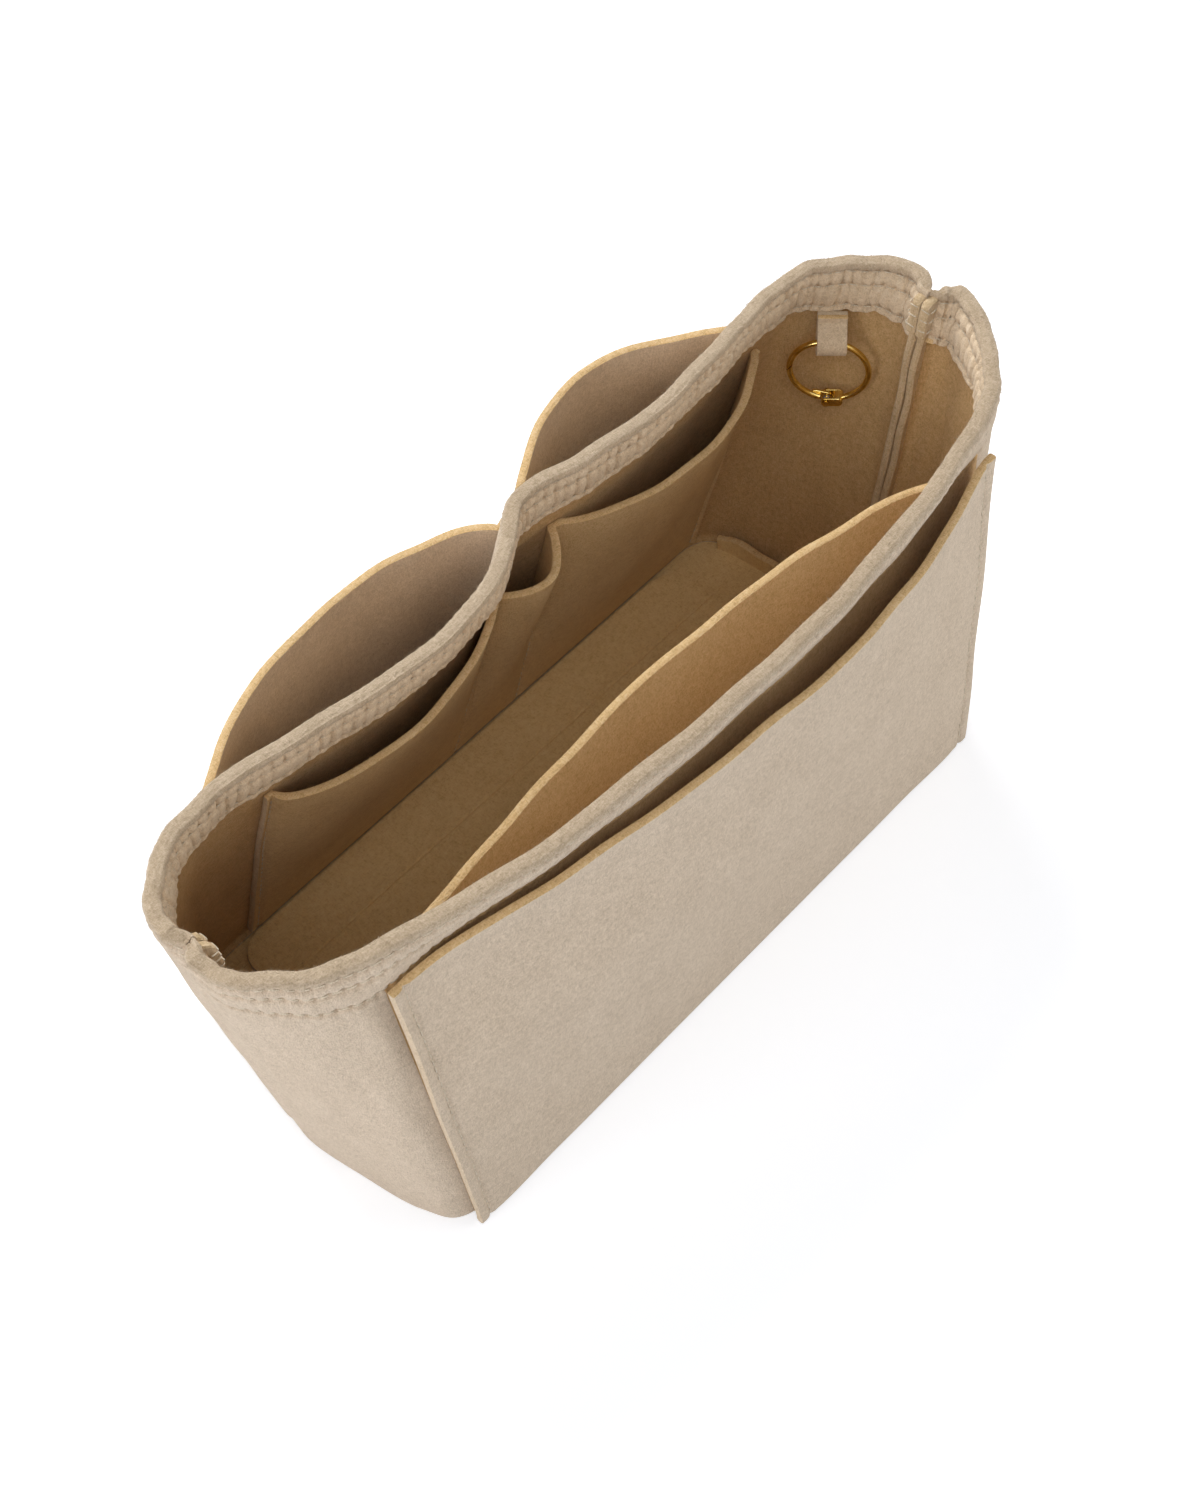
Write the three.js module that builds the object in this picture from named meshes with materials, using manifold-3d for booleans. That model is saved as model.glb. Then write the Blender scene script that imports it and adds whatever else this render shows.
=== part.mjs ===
// A felt organizer insert for a tote bag, in millimetres.
// The tub is sewn from a front wall, a back wall and a base. Its rim is a folded hem, and its end seams turn inward.
// One flat pocket covers the front and two bellied pockets the back. Inside are one long pocket and three short ones.
// A felt tab under the hem carries a ring with a spring gate.
// X runs along the insert, Y from its front to its back and Z up. The origin is the middle of the base's underside.

import * as THREE from 'three';
import { mergeVertices } from 'three/addons/utils/BufferGeometryUtils.js';
import Module from 'manifold-3d';

const wasm = await Module();
wasm.setup();

// Overall sizes
const insertHeight = 176;
const baseLength = 320;
const baseDepth = 153;
const endFlare = 30;
const rimDepth = 150;

// Felt and its seams
const felt = 3;
const seamGap = 0.3;
const hemDepth = 23;
const hemSlack = 0.6;
const bottomRound = 5;
const endBulge = 1;
const seamAllowance = 7.5;
const hemSeamAllowance = 10;
const seamHemPly = 4.6;
const seamTopDrop = 4;
const baseAllowance = 8;

// Second felt layer on the base
const layerEndInset = 34;
const layerSideInset = 7.5;
const layerCorner = 12;

// Front pocket
const frontPocketHeight = 157;
const frontPocketBow = 6;
const pocketFoot = 1;
const lapMargin = 5;
const lapLift = 1.4;

// Back pockets
const backPocketHeight = 154;
const backLeftBow = 40;
const backRightBow = 34;

// Inner pockets
const innerPocketFoot = 7;
const innerFrontHeight = 140;
const innerFrontBow = 41.5;
const innerBackHeight = 140;
const innerBackBows = [11, 18, 15];

// Key tab: a strip folded into a loop, with a tunnel for the ring at its fold
const tabWidth = 11;
const tabStandOff = 0.8;
const ringClearance = 2.2;
const tabFelt = 2;
const tabDrop = 16;
const tunnelWidth = 7;
const tunnelHeight = 6.4;

// Spring-gate ring
const ringBore = 28;
const ringWire = 2.4;
const ringTurnDegrees = -8;
const ringPlay = 0.6;
const bossRadius = 2.1;
const bossWidth = 5.8;
const slotWidth = 4;
const bossReach = 4.4;
const tongueWidth = 1.2;
const gateSlantDegrees = 56;
const pinRadius = 0.6;
const pinHeadRadius = 1.3;
const pinHeadHeight = 0.5;
const springWire = 0.36;
const springCoil = 1.3;
const springPitch = 0.85;
const springTurns = 1.75;

// Each row is one upright of a wall: its foot's x and y as shares of half the base, its top's as shares of half the rim
const frontShares = [
  [-1.0, 0.0, -0.974, -0.09],
  [-1.006, -0.15, -0.993, -0.21],
  [-0.99, -0.4, -0.963, -0.4],
  [-0.955, -0.76, -0.878, -0.6],
  [-0.88, -0.95, -0.795, -0.705],
  [-0.62, -0.965, -0.555, -0.845],
  [-0.31, -0.965, -0.28, -0.95],
  [0.0, -0.965, 0.025, -0.99],
  [0.31, -0.965, 0.3, -0.975],
  [0.62, -0.965, 0.545, -0.92],
  [0.88, -0.95, 0.788, -0.79],
  [0.955, -0.74, 0.908, -0.6],
  [0.99, -0.42, 0.995, -0.35],
  [1.006, -0.24, 1.01, -0.17],
  [1.0, -0.1, 0.976, -0.09],
];
const backShares = [
  [-1.0, 0.0, -0.974, -0.09],
  [-0.99, 0.15, -0.984, 0.03],
  [-0.957, 0.5, -0.958, 0.2],
  [-0.928, 0.82, -0.874, 0.36],
  [-0.87, 0.975, -0.745, 0.41],
  [-0.66, 1.0, -0.575, 0.36],
  [-0.34, 1.0, -0.32, 0.25],
  [-0.07, 1.0, -0.105, 0.29],
  [0.09, 1.0, 0.058, 0.58],
  [0.25, 1.0, 0.21, 0.48],
  [0.5, 1.0, 0.41, 0.44],
  [0.74, 1.0, 0.615, 0.5],
  [0.9, 0.985, 0.763, 0.525],
  [0.975, 0.84, 0.868, 0.49],
  [1.0, 0.5, 0.956, 0.32],
  [1.006, 0.08, 1.004, 0.07],
  [1.0, -0.1, 0.976, -0.09],
];

// Places along a wall, counted in its uprights
const frontRibShares = [4, 10];
const backRibShares = [4, 12];
const backMiddleShare = 8;
const innerBackDivisionShares = [4.75, 7.25, 8.75, 12];
const sewnShare = 0.1;
const tabPlaceShare = 13.68;

// How full each pocket's belly is, and how lopsided. Below one it is fuller, or full nearer to the left.
const frontBellyShares = [0.85, 1.3];
const backLeftBellyShares = [0.9, 1.2];
const backRightBellyShares = [1.5, 1];
const innerFrontBellyShares = [0.7, 1.1];
const innerBackBellyShares = [[0.85, 0.6], [0.85, 1], [0.85, 1]];

const rimLength = baseLength + 2 * endFlare;
const halfGap = seamGap / 2;
const hemThickness = 2 * felt + hemSlack;
const rimRadius = hemThickness / 2;
const hemFoot = insertHeight - hemDepth;
const stepsPerUpright = 4;
const heightSteps = 4;
const roundSteps = 3;
const rimSteps = 5;
const ridgeUprights = 3;
const tongueFoot = -slotWidth / 2 + seamGap;
const arcStep = Math.PI / 18;
const wireSides = 10;
const boreSides = 20;
const probe = 0.1;

// Evenly spread values, both ends included
function spread(from, to, steps) {
  return Array.from({ length: steps + 1 }, (_, i) => from + ((to - from) * i) / steps);
}

// Heights shared by every sheet's mesh
const levels = spread(bottomRound, hemFoot, heightSteps);

const feltMaterial = new THREE.MeshStandardMaterial({ color: '#bfae96', roughness: 0.95, metalness: 0 });
const goldMaterial = new THREE.MeshStandardMaterial({ color: '#c79a45', roughness: 0.22, metalness: 1 });
const steelMaterial = new THREE.MeshStandardMaterial({ color: '#9a9a98', roughness: 0.35, metalness: 1 });

// Curves of one wall. The inward sign turns the travel direction, left to right, into the direction to the cavity.
function makeSide(shares, inwardSign) {
  const foot = shares.map((row) => new THREE.Vector2((row[0] * baseLength) / 2, (row[1] * baseDepth) / 2));
  const top = shares.map((row) => new THREE.Vector2((row[2] * rimLength) / 2, (row[3] * rimDepth) / 2));
  return {
    inwardSign,
    uprights: shares.length - 1,
    foot: new THREE.SplineCurve(foot),
    top: new THREE.SplineCurve(top),
  };
}

const front = makeSide(frontShares, 1);
const back = makeSide(backShares, -1);

// Direction square to a plan curve at a place, turned to the cavity's side
function squareTo(curve, side, place) {
  const before = curve(Math.max(place - probe, 0));
  const after = curve(Math.min(place + probe, side.uprights));
  const along = after.sub(before).normalize();
  return new THREE.Vector2(-along.y, along.x).multiplyScalar(side.inwardSign);
}

// The wall's outer face in plan, at a place in uprights and a height
function wallPlan(side, place, z) {
  const share = place / side.uprights;
  const rise = Math.max(z - bottomRound, 0) / (insertHeight - bottomRound);
  const straight = (at) => {
    const t = at / side.uprights;
    return side.foot.getPoint(t).lerp(side.top.getPoint(t), rise);
  };
  const bulge = -endBulge * Math.sin(Math.PI * rise) * Math.cos(Math.PI * share) ** 2;
  return straight(place).addScaledVector(squareTo(straight, side, place), bulge);
}

// A point of the wall at a depth below its outer face, towards the cavity
function wallPoint(side, place, depth, z) {
  const curve = (at) => wallPlan(side, at, z);
  const point = curve(place).addScaledVector(squareTo(curve, side, place), depth);
  return new THREE.Vector3(point.x, point.y, z);
}

// A closed body through equal rings of points. Half of each ring is its near side and half its far side. Both sides
// are split along the same diagonals, so that neighbours stay apart, and the end caps are laddered between them.
function loft(rings) {
  const count = rings[0].length;
  const positions = rings.flat().flatMap((point) => [point.x, point.y, point.z]);
  const index = [];
  for (let ring = 0; ring < rings.length - 1; ring += 1) {
    for (let i = 0; i < count; i += 1) {
      const a = ring * count + i;
      const b = ring * count + ((i + 1) % count);
      if (i < count / 2) {
        index.push(a, b, b + count, a, b + count, a + count);
      } else {
        index.push(a, b, a + count, b, b + count, a + count);
      }
    }
  }
  const last = (rings.length - 1) * count;
  for (let i = 0; i < count / 2 - 1; i += 1) {
    const far = count - 1 - i;
    index.push(i, far, i + 1, i + 1, far, far - 1);
    index.push(last + i, last + i + 1, last + far, last + i + 1, last + far - 1, last + far);
  }
  const geometry = new THREE.BufferGeometry();
  geometry.setAttribute('position', new THREE.Float32BufferAttribute(positions, 3));
  geometry.setIndex(index);
  return faceOut(geometry);
}

// Turns the triangles round where the body came out inside out
function faceOut(geometry) {
  const position = geometry.getAttribute('position');
  const index = geometry.getIndex();
  const corners = [new THREE.Vector3(), new THREE.Vector3(), new THREE.Vector3()];
  let volume = 0;
  for (let i = 0; i < index.count; i += 3) {
    corners.forEach((corner, k) => corner.fromBufferAttribute(position, index.getX(i + k)));
    volume += corners[0].dot(corners[1].clone().cross(corners[2]));
  }
  if (volume < 0) {
    geometry.setIndex(Array.from(index.array).reverse());
  }
  return geometry;
}

// Solids for joining and cutting
function toSolid(geometry) {
  const bare = geometry.clone();
  bare.deleteAttribute('normal');
  bare.deleteAttribute('uv');
  const merged = mergeVertices(bare);
  const mesh = new wasm.Mesh({
    numProp: 3,
    vertProperties: new Float32Array(merged.getAttribute('position').array),
    triVerts: new Uint32Array(merged.getIndex().array),
  });
  return new wasm.Manifold(mesh);
}

function toGeometry(solid) {
  const mesh = solid.getMesh();
  const geometry = new THREE.BufferGeometry();
  geometry.setAttribute('position', new THREE.Float32BufferAttribute(Array.from(mesh.vertProperties), 3));
  geometry.setIndex(Array.from(mesh.triVerts));
  return geometry;
}

function joined(...geometries) {
  const solids = geometries.map(toSolid);
  return toGeometry(solids.slice(1).reduce((sum, solid) => sum.add(solid), solids[0]));
}

function cut(geometry, ...tools) {
  return toGeometry(tools.map(toSolid).reduce((rest, tool) => rest.subtract(tool), toSolid(geometry)));
}

// A wall's section: up the outer face and over the folded rim, then down the hem's step and the inner face
function wallSection() {
  const outer = [];
  const inner = [];
  const innerRound = bottomRound - felt;
  for (const turn of spread(0, Math.PI / 2, roundSteps)) {
    outer.push([bottomRound * (1 - Math.sin(turn)), bottomRound * (1 - Math.cos(turn))]);
    inner.push([bottomRound - innerRound * Math.sin(turn), bottomRound - innerRound * Math.cos(turn)]);
  }
  for (const z of levels.slice(1)) {
    outer.push([0, z]);
    inner.push([felt, z]);
  }
  const rimFoot = insertHeight - rimRadius;
  outer.push([0, (hemFoot + rimFoot) / 2], [0, rimFoot]);
  inner.push([hemThickness, hemFoot], [hemThickness, rimFoot]);
  for (const turn of spread(0, Math.PI, rimSteps).slice(1, (rimSteps + 1) / 2)) {
    const z = rimFoot + rimRadius * Math.sin(turn);
    outer.push([rimRadius - rimRadius * Math.cos(turn), z]);
    inner.push([rimRadius + rimRadius * Math.cos(turn), z]);
  }
  return [...outer, ...inner.reverse()];
}

function lofted(side, section) {
  const places = spread(0, side.uprights, side.uprights * stepsPerUpright);
  const rings = places.map((place) => section.map(([depth, z]) => wallPoint(side, place, depth, z)));
  const past = new THREE.Vector3(0, side.inwardSign * hemThickness, 0);
  const runPast = (ring) => ring.map((point) => point.clone().add(past));
  return loft([runPast(rings[0]), ...rings, runPast(rings[rings.length - 1])]);
}

// The seam's place at a height: both walls end there, and their allowances stand inward side by side
function seamPoint(endSign, z) {
  return wallPlan(front, endSign < 0 ? 0 : front.uprights, z);
}

// One allowance: a plate on one side of the seam, from one height to another
function seamPlate(endSign, side, ply, allowance, low, high) {
  const rings = spread(low, high, heightSteps).map((z) => {
    const seam = seamPoint(endSign, z);
    const near = seam.y - side.inwardSign * halfGap;
    const far = near - side.inwardSign * ply;
    const start = seam.x - endSign * felt;
    const tip = seam.x - endSign * allowance;
    const corners = [[start, near], [tip, near], [tip, far], [start, far]];
    return corners.map(([x, y]) => new THREE.Vector3(x, y, z));
  });
  return loft(rings);
}

// The room beyond the seam's plane, which each wall leaves to the other
function beyondSeam(endSign, side) {
  const rings = [-felt, insertHeight + felt].map((z) => {
    const seam = seamPoint(endSign, z);
    const near = seam.y - side.inwardSign * halfGap;
    const far = near + side.inwardSign * rimDepth;
    const outer = seam.x + endSign * hemDepth;
    const inner = seam.x - endSign * hemDepth;
    return [[outer, near], [inner, near], [inner, far], [outer, far]].map(([x, y]) => new THREE.Vector3(x, y, z));
  });
  return loft(rings);
}

function wall(side) {
  const allowanceFoot = felt + baseAllowance + seamGap;
  const plates = [-1, 1].flatMap((endSign) => [
    seamPlate(endSign, side, felt, seamAllowance, allowanceFoot, hemFoot + felt),
    seamPlate(endSign, side, seamHemPly, hemSeamAllowance, hemFoot, insertHeight - seamTopDrop),
  ]);
  const body = joined(lofted(side, wallSection()), ...plates);
  return cut(body, beyondSeam(-1, side), beyondSeam(1, side));
}

// A sheet of felt beside a wall, from a foot to a top. Its near face is given in plan; it thickens away from the wall.
function sheet(side, from, to, foot, top, nearFace, away, ply = felt) {
  const steps = Math.round((to - from) * stepsPerUpright);
  const heights = [foot, ...levels.filter((z) => z > foot && z < top), top];
  const rings = spread(from, to, steps).map((place) => {
    const near = heights.map((z) => nearFace(place, z));
    const far = heights.map((z, i) => {
      const curve = (at) => nearFace(Math.min(Math.max(at, from), to), z);
      return near[i].clone().addScaledVector(squareTo(curve, side, place), away * ply);
    });
    const ring = heights.map((z, i) => new THREE.Vector3(near[i].x, near[i].y, z));
    const backwards = heights.map((z, i) => new THREE.Vector3(far[i].x, far[i].y, z)).reverse();
    return [...ring, ...backwards];
  });
  return loft(rings);
}

// How far a pocket stands off at a place and height: nothing at its sewn sides and foot, its full bow at the top
function belly(place, z, from, to, foot, top, bow, [fullness, skew]) {
  const across = Math.min(Math.max((place - from - sewnShare) / (to - from - 2 * sewnShare), 0), 1);
  const up = Math.max((z - foot) / (top - foot), 0);
  return bow * Math.sin(Math.PI * across ** skew) ** fullness * up;
}

function frontPocket() {
  const [from, to] = frontRibShares;
  const marginShare = (lapMargin / baseLength) * front.uprights;
  return sheet(front, from, to, pocketFoot, frontPocketHeight, (place, z) => {
    const edge = Math.min(place - from, to - place);
    const lift = lapLift * Math.max(1 - edge / marginShare, 0);
    const off = belly(place, z, from, to, pocketFoot, frontPocketHeight, frontPocketBow, frontBellyShares);
    const point = wallPlan(front, place, z);
    const square = squareTo((at) => wallPlan(front, at, z), front, place);
    return point.addScaledVector(square, -seamGap - lift).add(new THREE.Vector2(0, -off));
  }, -1);
}

function backPocket() {
  const [from, to] = backRibShares;
  return sheet(back, from, to, pocketFoot, backPocketHeight, (place, z) => {
    const middle = backMiddleShare;
    const left = belly(place, z, from, middle, pocketFoot, backPocketHeight, backLeftBow, backLeftBellyShares);
    const right = belly(place, z, middle, to, pocketFoot, backPocketHeight, backRightBow, backRightBellyShares);
    const point = wallPlan(back, place, z);
    const square = squareTo((at) => wallPlan(back, at, z), back, place);
    return point.addScaledVector(square, -seamGap).add(new THREE.Vector2(0, left + right));
  }, -1);
}

function innerFrontPocket() {
  const [from, to] = frontRibShares;
  return sheet(front, from, to, innerPocketFoot, innerFrontHeight, (place, z) => {
    const off = belly(place, z, from, to, innerPocketFoot, innerFrontHeight, innerFrontBow, innerFrontBellyShares);
    const point = wallPlan(front, place, z);
    const square = squareTo((at) => wallPlan(front, at, z), front, place);
    return point.addScaledVector(square, felt + seamGap).add(new THREE.Vector2(0, off));
  }, 1);
}

function innerBackPocket() {
  const edges = innerBackDivisionShares;
  return sheet(back, edges[0], edges[3], innerPocketFoot, innerBackHeight, (place, z) => {
    const off = innerBackBows.reduce((sum, bow, i) => {
      const fullness = innerBackBellyShares[i];
      return sum + belly(place, z, edges[i], edges[i + 1], innerPocketFoot, innerBackHeight, bow, fullness);
    }, 0);
    const point = wallPlan(back, place, z);
    const square = squareTo((at) => wallPlan(back, at, z), back, place);
    return point.addScaledVector(square, felt + seamGap).add(new THREE.Vector2(0, -off));
  }, 1);
}

// A flat piece of felt from its outline in plan
function flatPiece(outline, foot, thickness) {
  const geometry = new THREE.ExtrudeGeometry(new THREE.Shape(outline), { depth: thickness, bevelEnabled: false });
  return geometry.translate(0, 0, foot);
}

// Points along a wall's foot at a depth below its outer face
function footLine(side, from, to, depth) {
  const places = spread(from, to, Math.round(Math.abs(to - from) * stepsPerUpright));
  return places.map((place) => wallPoint(side, place, depth, 0));
}

// The base's allowance, which stands up along one end
function endRidge(endSign) {
  const near = bottomRound + seamGap;
  const line = (side, depth) => {
    const end = endSign < 0 ? 0 : side.uprights;
    return footLine(side, end - endSign * ridgeUprights, end, depth);
  };
  const path = (depth) => [...line(front, depth), ...line(back, depth).reverse().slice(1)];
  const outer = path(near);
  const inner = path(near + felt);
  const at = (point, z) => new THREE.Vector3(point.x, point.y, z);
  const foot = felt / 2;
  const top = felt + baseAllowance;
  return loft(outer.map((point, i) => [at(point, foot), at(point, top), at(inner[i], top), at(inner[i], foot)]));
}

function basePanel() {
  const depth = bottomRound + seamGap;
  const frontLine = footLine(front, 0, front.uprights, depth);
  const backLine = footLine(back, back.uprights, 0, depth);
  const outline = [...frontLine, ...backLine.slice(1, -1)].map((point) => new THREE.Vector2(point.x, point.y));
  return joined(flatPiece(outline, 0, felt), endRidge(-1), endRidge(1));
}

function baseLayer() {
  const outline = [];
  const corners = [[1, -1], [1, 1], [-1, 1], [-1, -1]];
  corners.forEach(([signX, signY], corner) => {
    const centreX = signX * (baseLength / 2 - layerEndInset - layerCorner);
    const centreY = signY * (baseDepth / 2 - layerSideInset - layerCorner);
    for (const turn of spread(-Math.PI / 2, 0, roundSteps)) {
      const angle = turn + (corner * Math.PI) / 2;
      outline.push(new THREE.Vector2(centreX + layerCorner * Math.cos(angle), centreY + layerCorner * Math.sin(angle)));
    }
  });
  return flatPiece(outline, felt + seamGap, felt);
}

const ringRadius = (ringBore + ringWire) / 2;
const wireInTab = Math.sqrt((ringBore / 2) ** 2 - (tabWidth / 2) ** 2);
const ringDrop = tabDrop - tabFelt - ringPlay + wireInTab;

// The tab's frame: its origin is under the hem's edge, on the wall's inner face. Its axes run along the wall, up, and
// to the cavity. It stands off far enough for the ring, which hangs plumb beside a wall that leans and curves.
function tabFrame() {
  const top = hemFoot - seamGap;
  const seat = wallPoint(back, tabPlaceShare, felt, top);
  const square = squareTo((at) => wallPlan(back, at, top), back, tabPlaceShare);
  const inward = new THREE.Vector3(square.x, square.y, 0);
  const up = new THREE.Vector3(0, 0, 1);
  const along = new THREE.Vector3().crossVectors(up, inward);
  const ringReach = ringRadius + ringWire;
  let wallReach = 0;
  for (const z of spread(top - ringDrop - ringReach, top - ringDrop + ringReach, heightSteps)) {
    for (const place of spread(tabPlaceShare - 1, back.uprights, heightSteps * stepsPerUpright)) {
      const away = wallPoint(back, place, felt, z).sub(seat);
      const fromMiddle = Math.hypot(away.dot(along), away.z + ringDrop);
      wallReach = fromMiddle < ringReach ? Math.max(wallReach, away.dot(inward)) : wallReach;
    }
  }
  const ringDepth = tabFelt + tunnelWidth / 2 - ringWire / 2;
  const standOff = Math.max(tabStandOff, wallReach + ringClearance - ringDepth);
  return new THREE.Matrix4().makeBasis(along, up, inward).setPosition(seat.addScaledVector(inward, standOff));
}

// One loop of felt in section: straight against the wall, full around the tunnel and pressed together above it
function keyTab() {
  const swell = tunnelWidth / 2;
  const fold = swell + tabFelt;
  const foldHeight = -tabDrop + fold;
  const neck = foldHeight + tunnelHeight;
  const outline = new THREE.Shape();
  outline.moveTo(0, 0);
  outline.lineTo(0, foldHeight);
  outline.absarc(fold, foldHeight, fold, Math.PI, 2 * Math.PI, false);
  outline.bezierCurveTo(2 * fold, neck - swell, 2 * tabFelt, neck, 2 * tabFelt, neck + tabFelt);
  outline.lineTo(2 * tabFelt, 0);
  const tunnel = new THREE.Path();
  tunnel.moveTo(tabFelt, neck - tabFelt);
  tunnel.lineTo(tabFelt, foldHeight);
  tunnel.absarc(fold, foldHeight, swell, Math.PI, 2 * Math.PI, false);
  tunnel.bezierCurveTo(fold + swell, foldHeight + swell, fold, neck - tabFelt, tabFelt, neck - tabFelt);
  outline.holes.push(tunnel);
  const settings = { depth: tabWidth, bevelEnabled: false, curveSegments: heightSteps + 1 };
  const geometry = new THREE.ExtrudeGeometry(outline, settings).translate(0, 0, -tabWidth / 2);
  const turned = new THREE.Matrix4().makeBasis(
    new THREE.Vector3(0, 0, 1),
    new THREE.Vector3(0, 1, 0),
    new THREE.Vector3(-1, 0, 0),
  );
  return geometry.applyMatrix4(turned).applyMatrix4(tabFrame());
}

// The ring's frame: its origin is the ring's middle. The ring lies in its first two axes, with the second one up.
function ringFrame() {
  const place = new THREE.Matrix4().makeTranslation(0, -ringDrop, tabFelt + tunnelWidth / 2);
  const turn = new THREE.Matrix4().makeRotationY(THREE.MathUtils.degToRad(ringTurnDegrees));
  return tabFrame().multiply(place).multiply(turn);
}

// A round wire bent to an arc about the ring's middle
function arcWire(from, to) {
  const steps = Math.ceil((to - from) / arcStep);
  const rings = spread(from, to, steps).map((angle) => {
    return spread(0, 2 * Math.PI, wireSides).slice(0, -1).map((turn) => {
      const reach = ringRadius + (ringWire / 2) * Math.cos(turn);
      const side = (ringWire / 2) * Math.sin(turn);
      return new THREE.Vector3(reach * Math.cos(angle), reach * Math.sin(angle), side);
    });
  });
  return loft(rings);
}

// A round bar square to the ring's plane, on the hinge or a reach away from it
function hingeBar(radius, from, to, reachX = 0, reachY = 0) {
  const bar = new THREE.CylinderGeometry(radius, radius, to - from, boreSides);
  return bar.rotateX(Math.PI / 2).translate(reachX, reachY - ringRadius, (from + to) / 2);
}

// Two round ends and the block between them, which carry the wire to the hinge
function hingeArm(radius, from, to, reach) {
  const angle = reach / ringRadius;
  const endX = ringRadius * Math.sin(angle);
  const endY = ringRadius * (1 - Math.cos(angle));
  const block = new THREE.BoxGeometry(Math.abs(reach), 2 * radius, to - from);
  block.rotateZ(Math.atan2(endY, endX * Math.sign(reach)) * Math.sign(reach));
  block.translate(endX / 2, endY / 2 - ringRadius, (from + to) / 2);
  return joined(hingeBar(radius, from, to), hingeBar(radius, from, to, endX, endY), block);
}

// The slanted cut where the gate's nose meets the ring: a block that covers one side of it
function noseBlock(sideSign) {
  const size = ringWire * 4;
  const slant = THREE.MathUtils.degToRad(gateSlantDegrees);
  const block = new THREE.BoxGeometry(size, size, size);
  block.translate(0, (sideSign * (size - seamGap)) / 2, 0);
  return block.rotateZ(slant).translate(-ringRadius, 0, 0);
}

function ringBody() {
  const hinge = -Math.PI / 2;
  const wire = arcWire(hinge, Math.PI + arcStep);
  const boss = hingeArm(bossRadius, -bossWidth / 2, bossWidth / 2, bossReach);
  const slot = hingeBar(bossRadius + seamGap, -slotWidth / 2, slotWidth / 2);
  const bore = hingeBar(pinRadius + seamGap, -bossWidth, bossWidth);
  return cut(joined(wire, boss), slot, bore, noseBlock(-1));
}

function ringGate() {
  const hinge = -Math.PI / 2;
  const wire = arcWire(-Math.PI - arcStep, hinge);
  const clear = hingeBar(bossRadius, -bossWidth, bossWidth);
  const tongue = hingeArm(bossRadius, tongueFoot, tongueFoot + tongueWidth, -bossReach);
  const bore = hingeBar(pinRadius + seamGap, -bossWidth, bossWidth);
  return cut(joined(cut(wire, clear, noseBlock(1)), tongue), bore);
}

function gatePin() {
  const half = bossWidth / 2 + seamGap;
  const shank = hingeBar(pinRadius, -half - pinHeadHeight, half + pinHeadHeight);
  const lower = hingeBar(pinHeadRadius, -half - pinHeadHeight, -half);
  const upper = hingeBar(pinHeadRadius, half, half + pinHeadHeight);
  return joined(shank, lower, upper);
}

// Unbroken wire around the pin, beside the gate's tongue
function gateSpring() {
  const steps = Math.round(springTurns * 8);
  const start = tongueFoot + tongueWidth + seamGap + springWire / 2;
  const rings = spread(0, springTurns, steps).map((turns) => {
    const angle = turns * 2 * Math.PI;
    return spread(0, 2 * Math.PI, 6).slice(0, -1).map((turn) => {
      const reach = springCoil + (springWire / 2) * Math.cos(turn);
      const side = start + springPitch * turns + (springWire / 2) * Math.sin(turn);
      return new THREE.Vector3(reach * Math.cos(angle), reach * Math.sin(angle) - ringRadius, side);
    });
  });
  return loft(rings);
}

const group = new THREE.Group();

function addPiece(name, geometry, material) {
  const mesh = new THREE.Mesh(geometry, material);
  mesh.name = name;
  group.add(mesh);
}

addPiece('front_wall', wall(front), feltMaterial);
addPiece('back_wall', wall(back), feltMaterial);
addPiece('base_panel', basePanel(), feltMaterial);
addPiece('base_layer', baseLayer(), feltMaterial);
addPiece('front_pocket', frontPocket(), feltMaterial);
addPiece('back_pocket', backPocket(), feltMaterial);
addPiece('inner_front_pocket', innerFrontPocket(), feltMaterial);
addPiece('inner_back_pocket', innerBackPocket(), feltMaterial);
addPiece('key_tab', keyTab(), feltMaterial);

const ringPlace = ringFrame();
addPiece('ring_body', ringBody().applyMatrix4(ringPlace), goldMaterial);
addPiece('ring_gate', ringGate().applyMatrix4(ringPlace), goldMaterial);
addPiece('gate_pin', gatePin().applyMatrix4(ringPlace), goldMaterial);
addPiece('gate_spring', gateSpring().applyMatrix4(ringPlace), steelMaterial);

export default group;
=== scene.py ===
# A felt organizer insert for a tote bag: two walls, a double base, four pocket panels, and a key
# ring on a felt tab. Sizes are in millimetres and become metres where a mesh is made. Each sheet
# follows the curves of the two walls, with stitches, dimples, cut edges and a slight waver.

import math
import bpy
import numpy as np
from mathutils import Matrix, Vector

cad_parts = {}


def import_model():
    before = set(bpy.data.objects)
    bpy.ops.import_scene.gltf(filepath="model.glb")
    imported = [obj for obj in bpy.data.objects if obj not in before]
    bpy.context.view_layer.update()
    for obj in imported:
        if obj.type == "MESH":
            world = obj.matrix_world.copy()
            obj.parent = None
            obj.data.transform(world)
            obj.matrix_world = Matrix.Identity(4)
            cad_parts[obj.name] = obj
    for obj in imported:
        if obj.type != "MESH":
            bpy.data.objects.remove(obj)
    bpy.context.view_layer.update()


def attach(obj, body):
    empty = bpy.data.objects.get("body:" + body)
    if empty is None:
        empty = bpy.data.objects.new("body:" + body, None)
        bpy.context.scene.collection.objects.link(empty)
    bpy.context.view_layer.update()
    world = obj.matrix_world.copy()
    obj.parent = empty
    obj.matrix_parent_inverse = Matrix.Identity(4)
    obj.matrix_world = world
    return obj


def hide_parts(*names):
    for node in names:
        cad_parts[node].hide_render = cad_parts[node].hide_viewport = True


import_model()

METRE = 0.001

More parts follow.
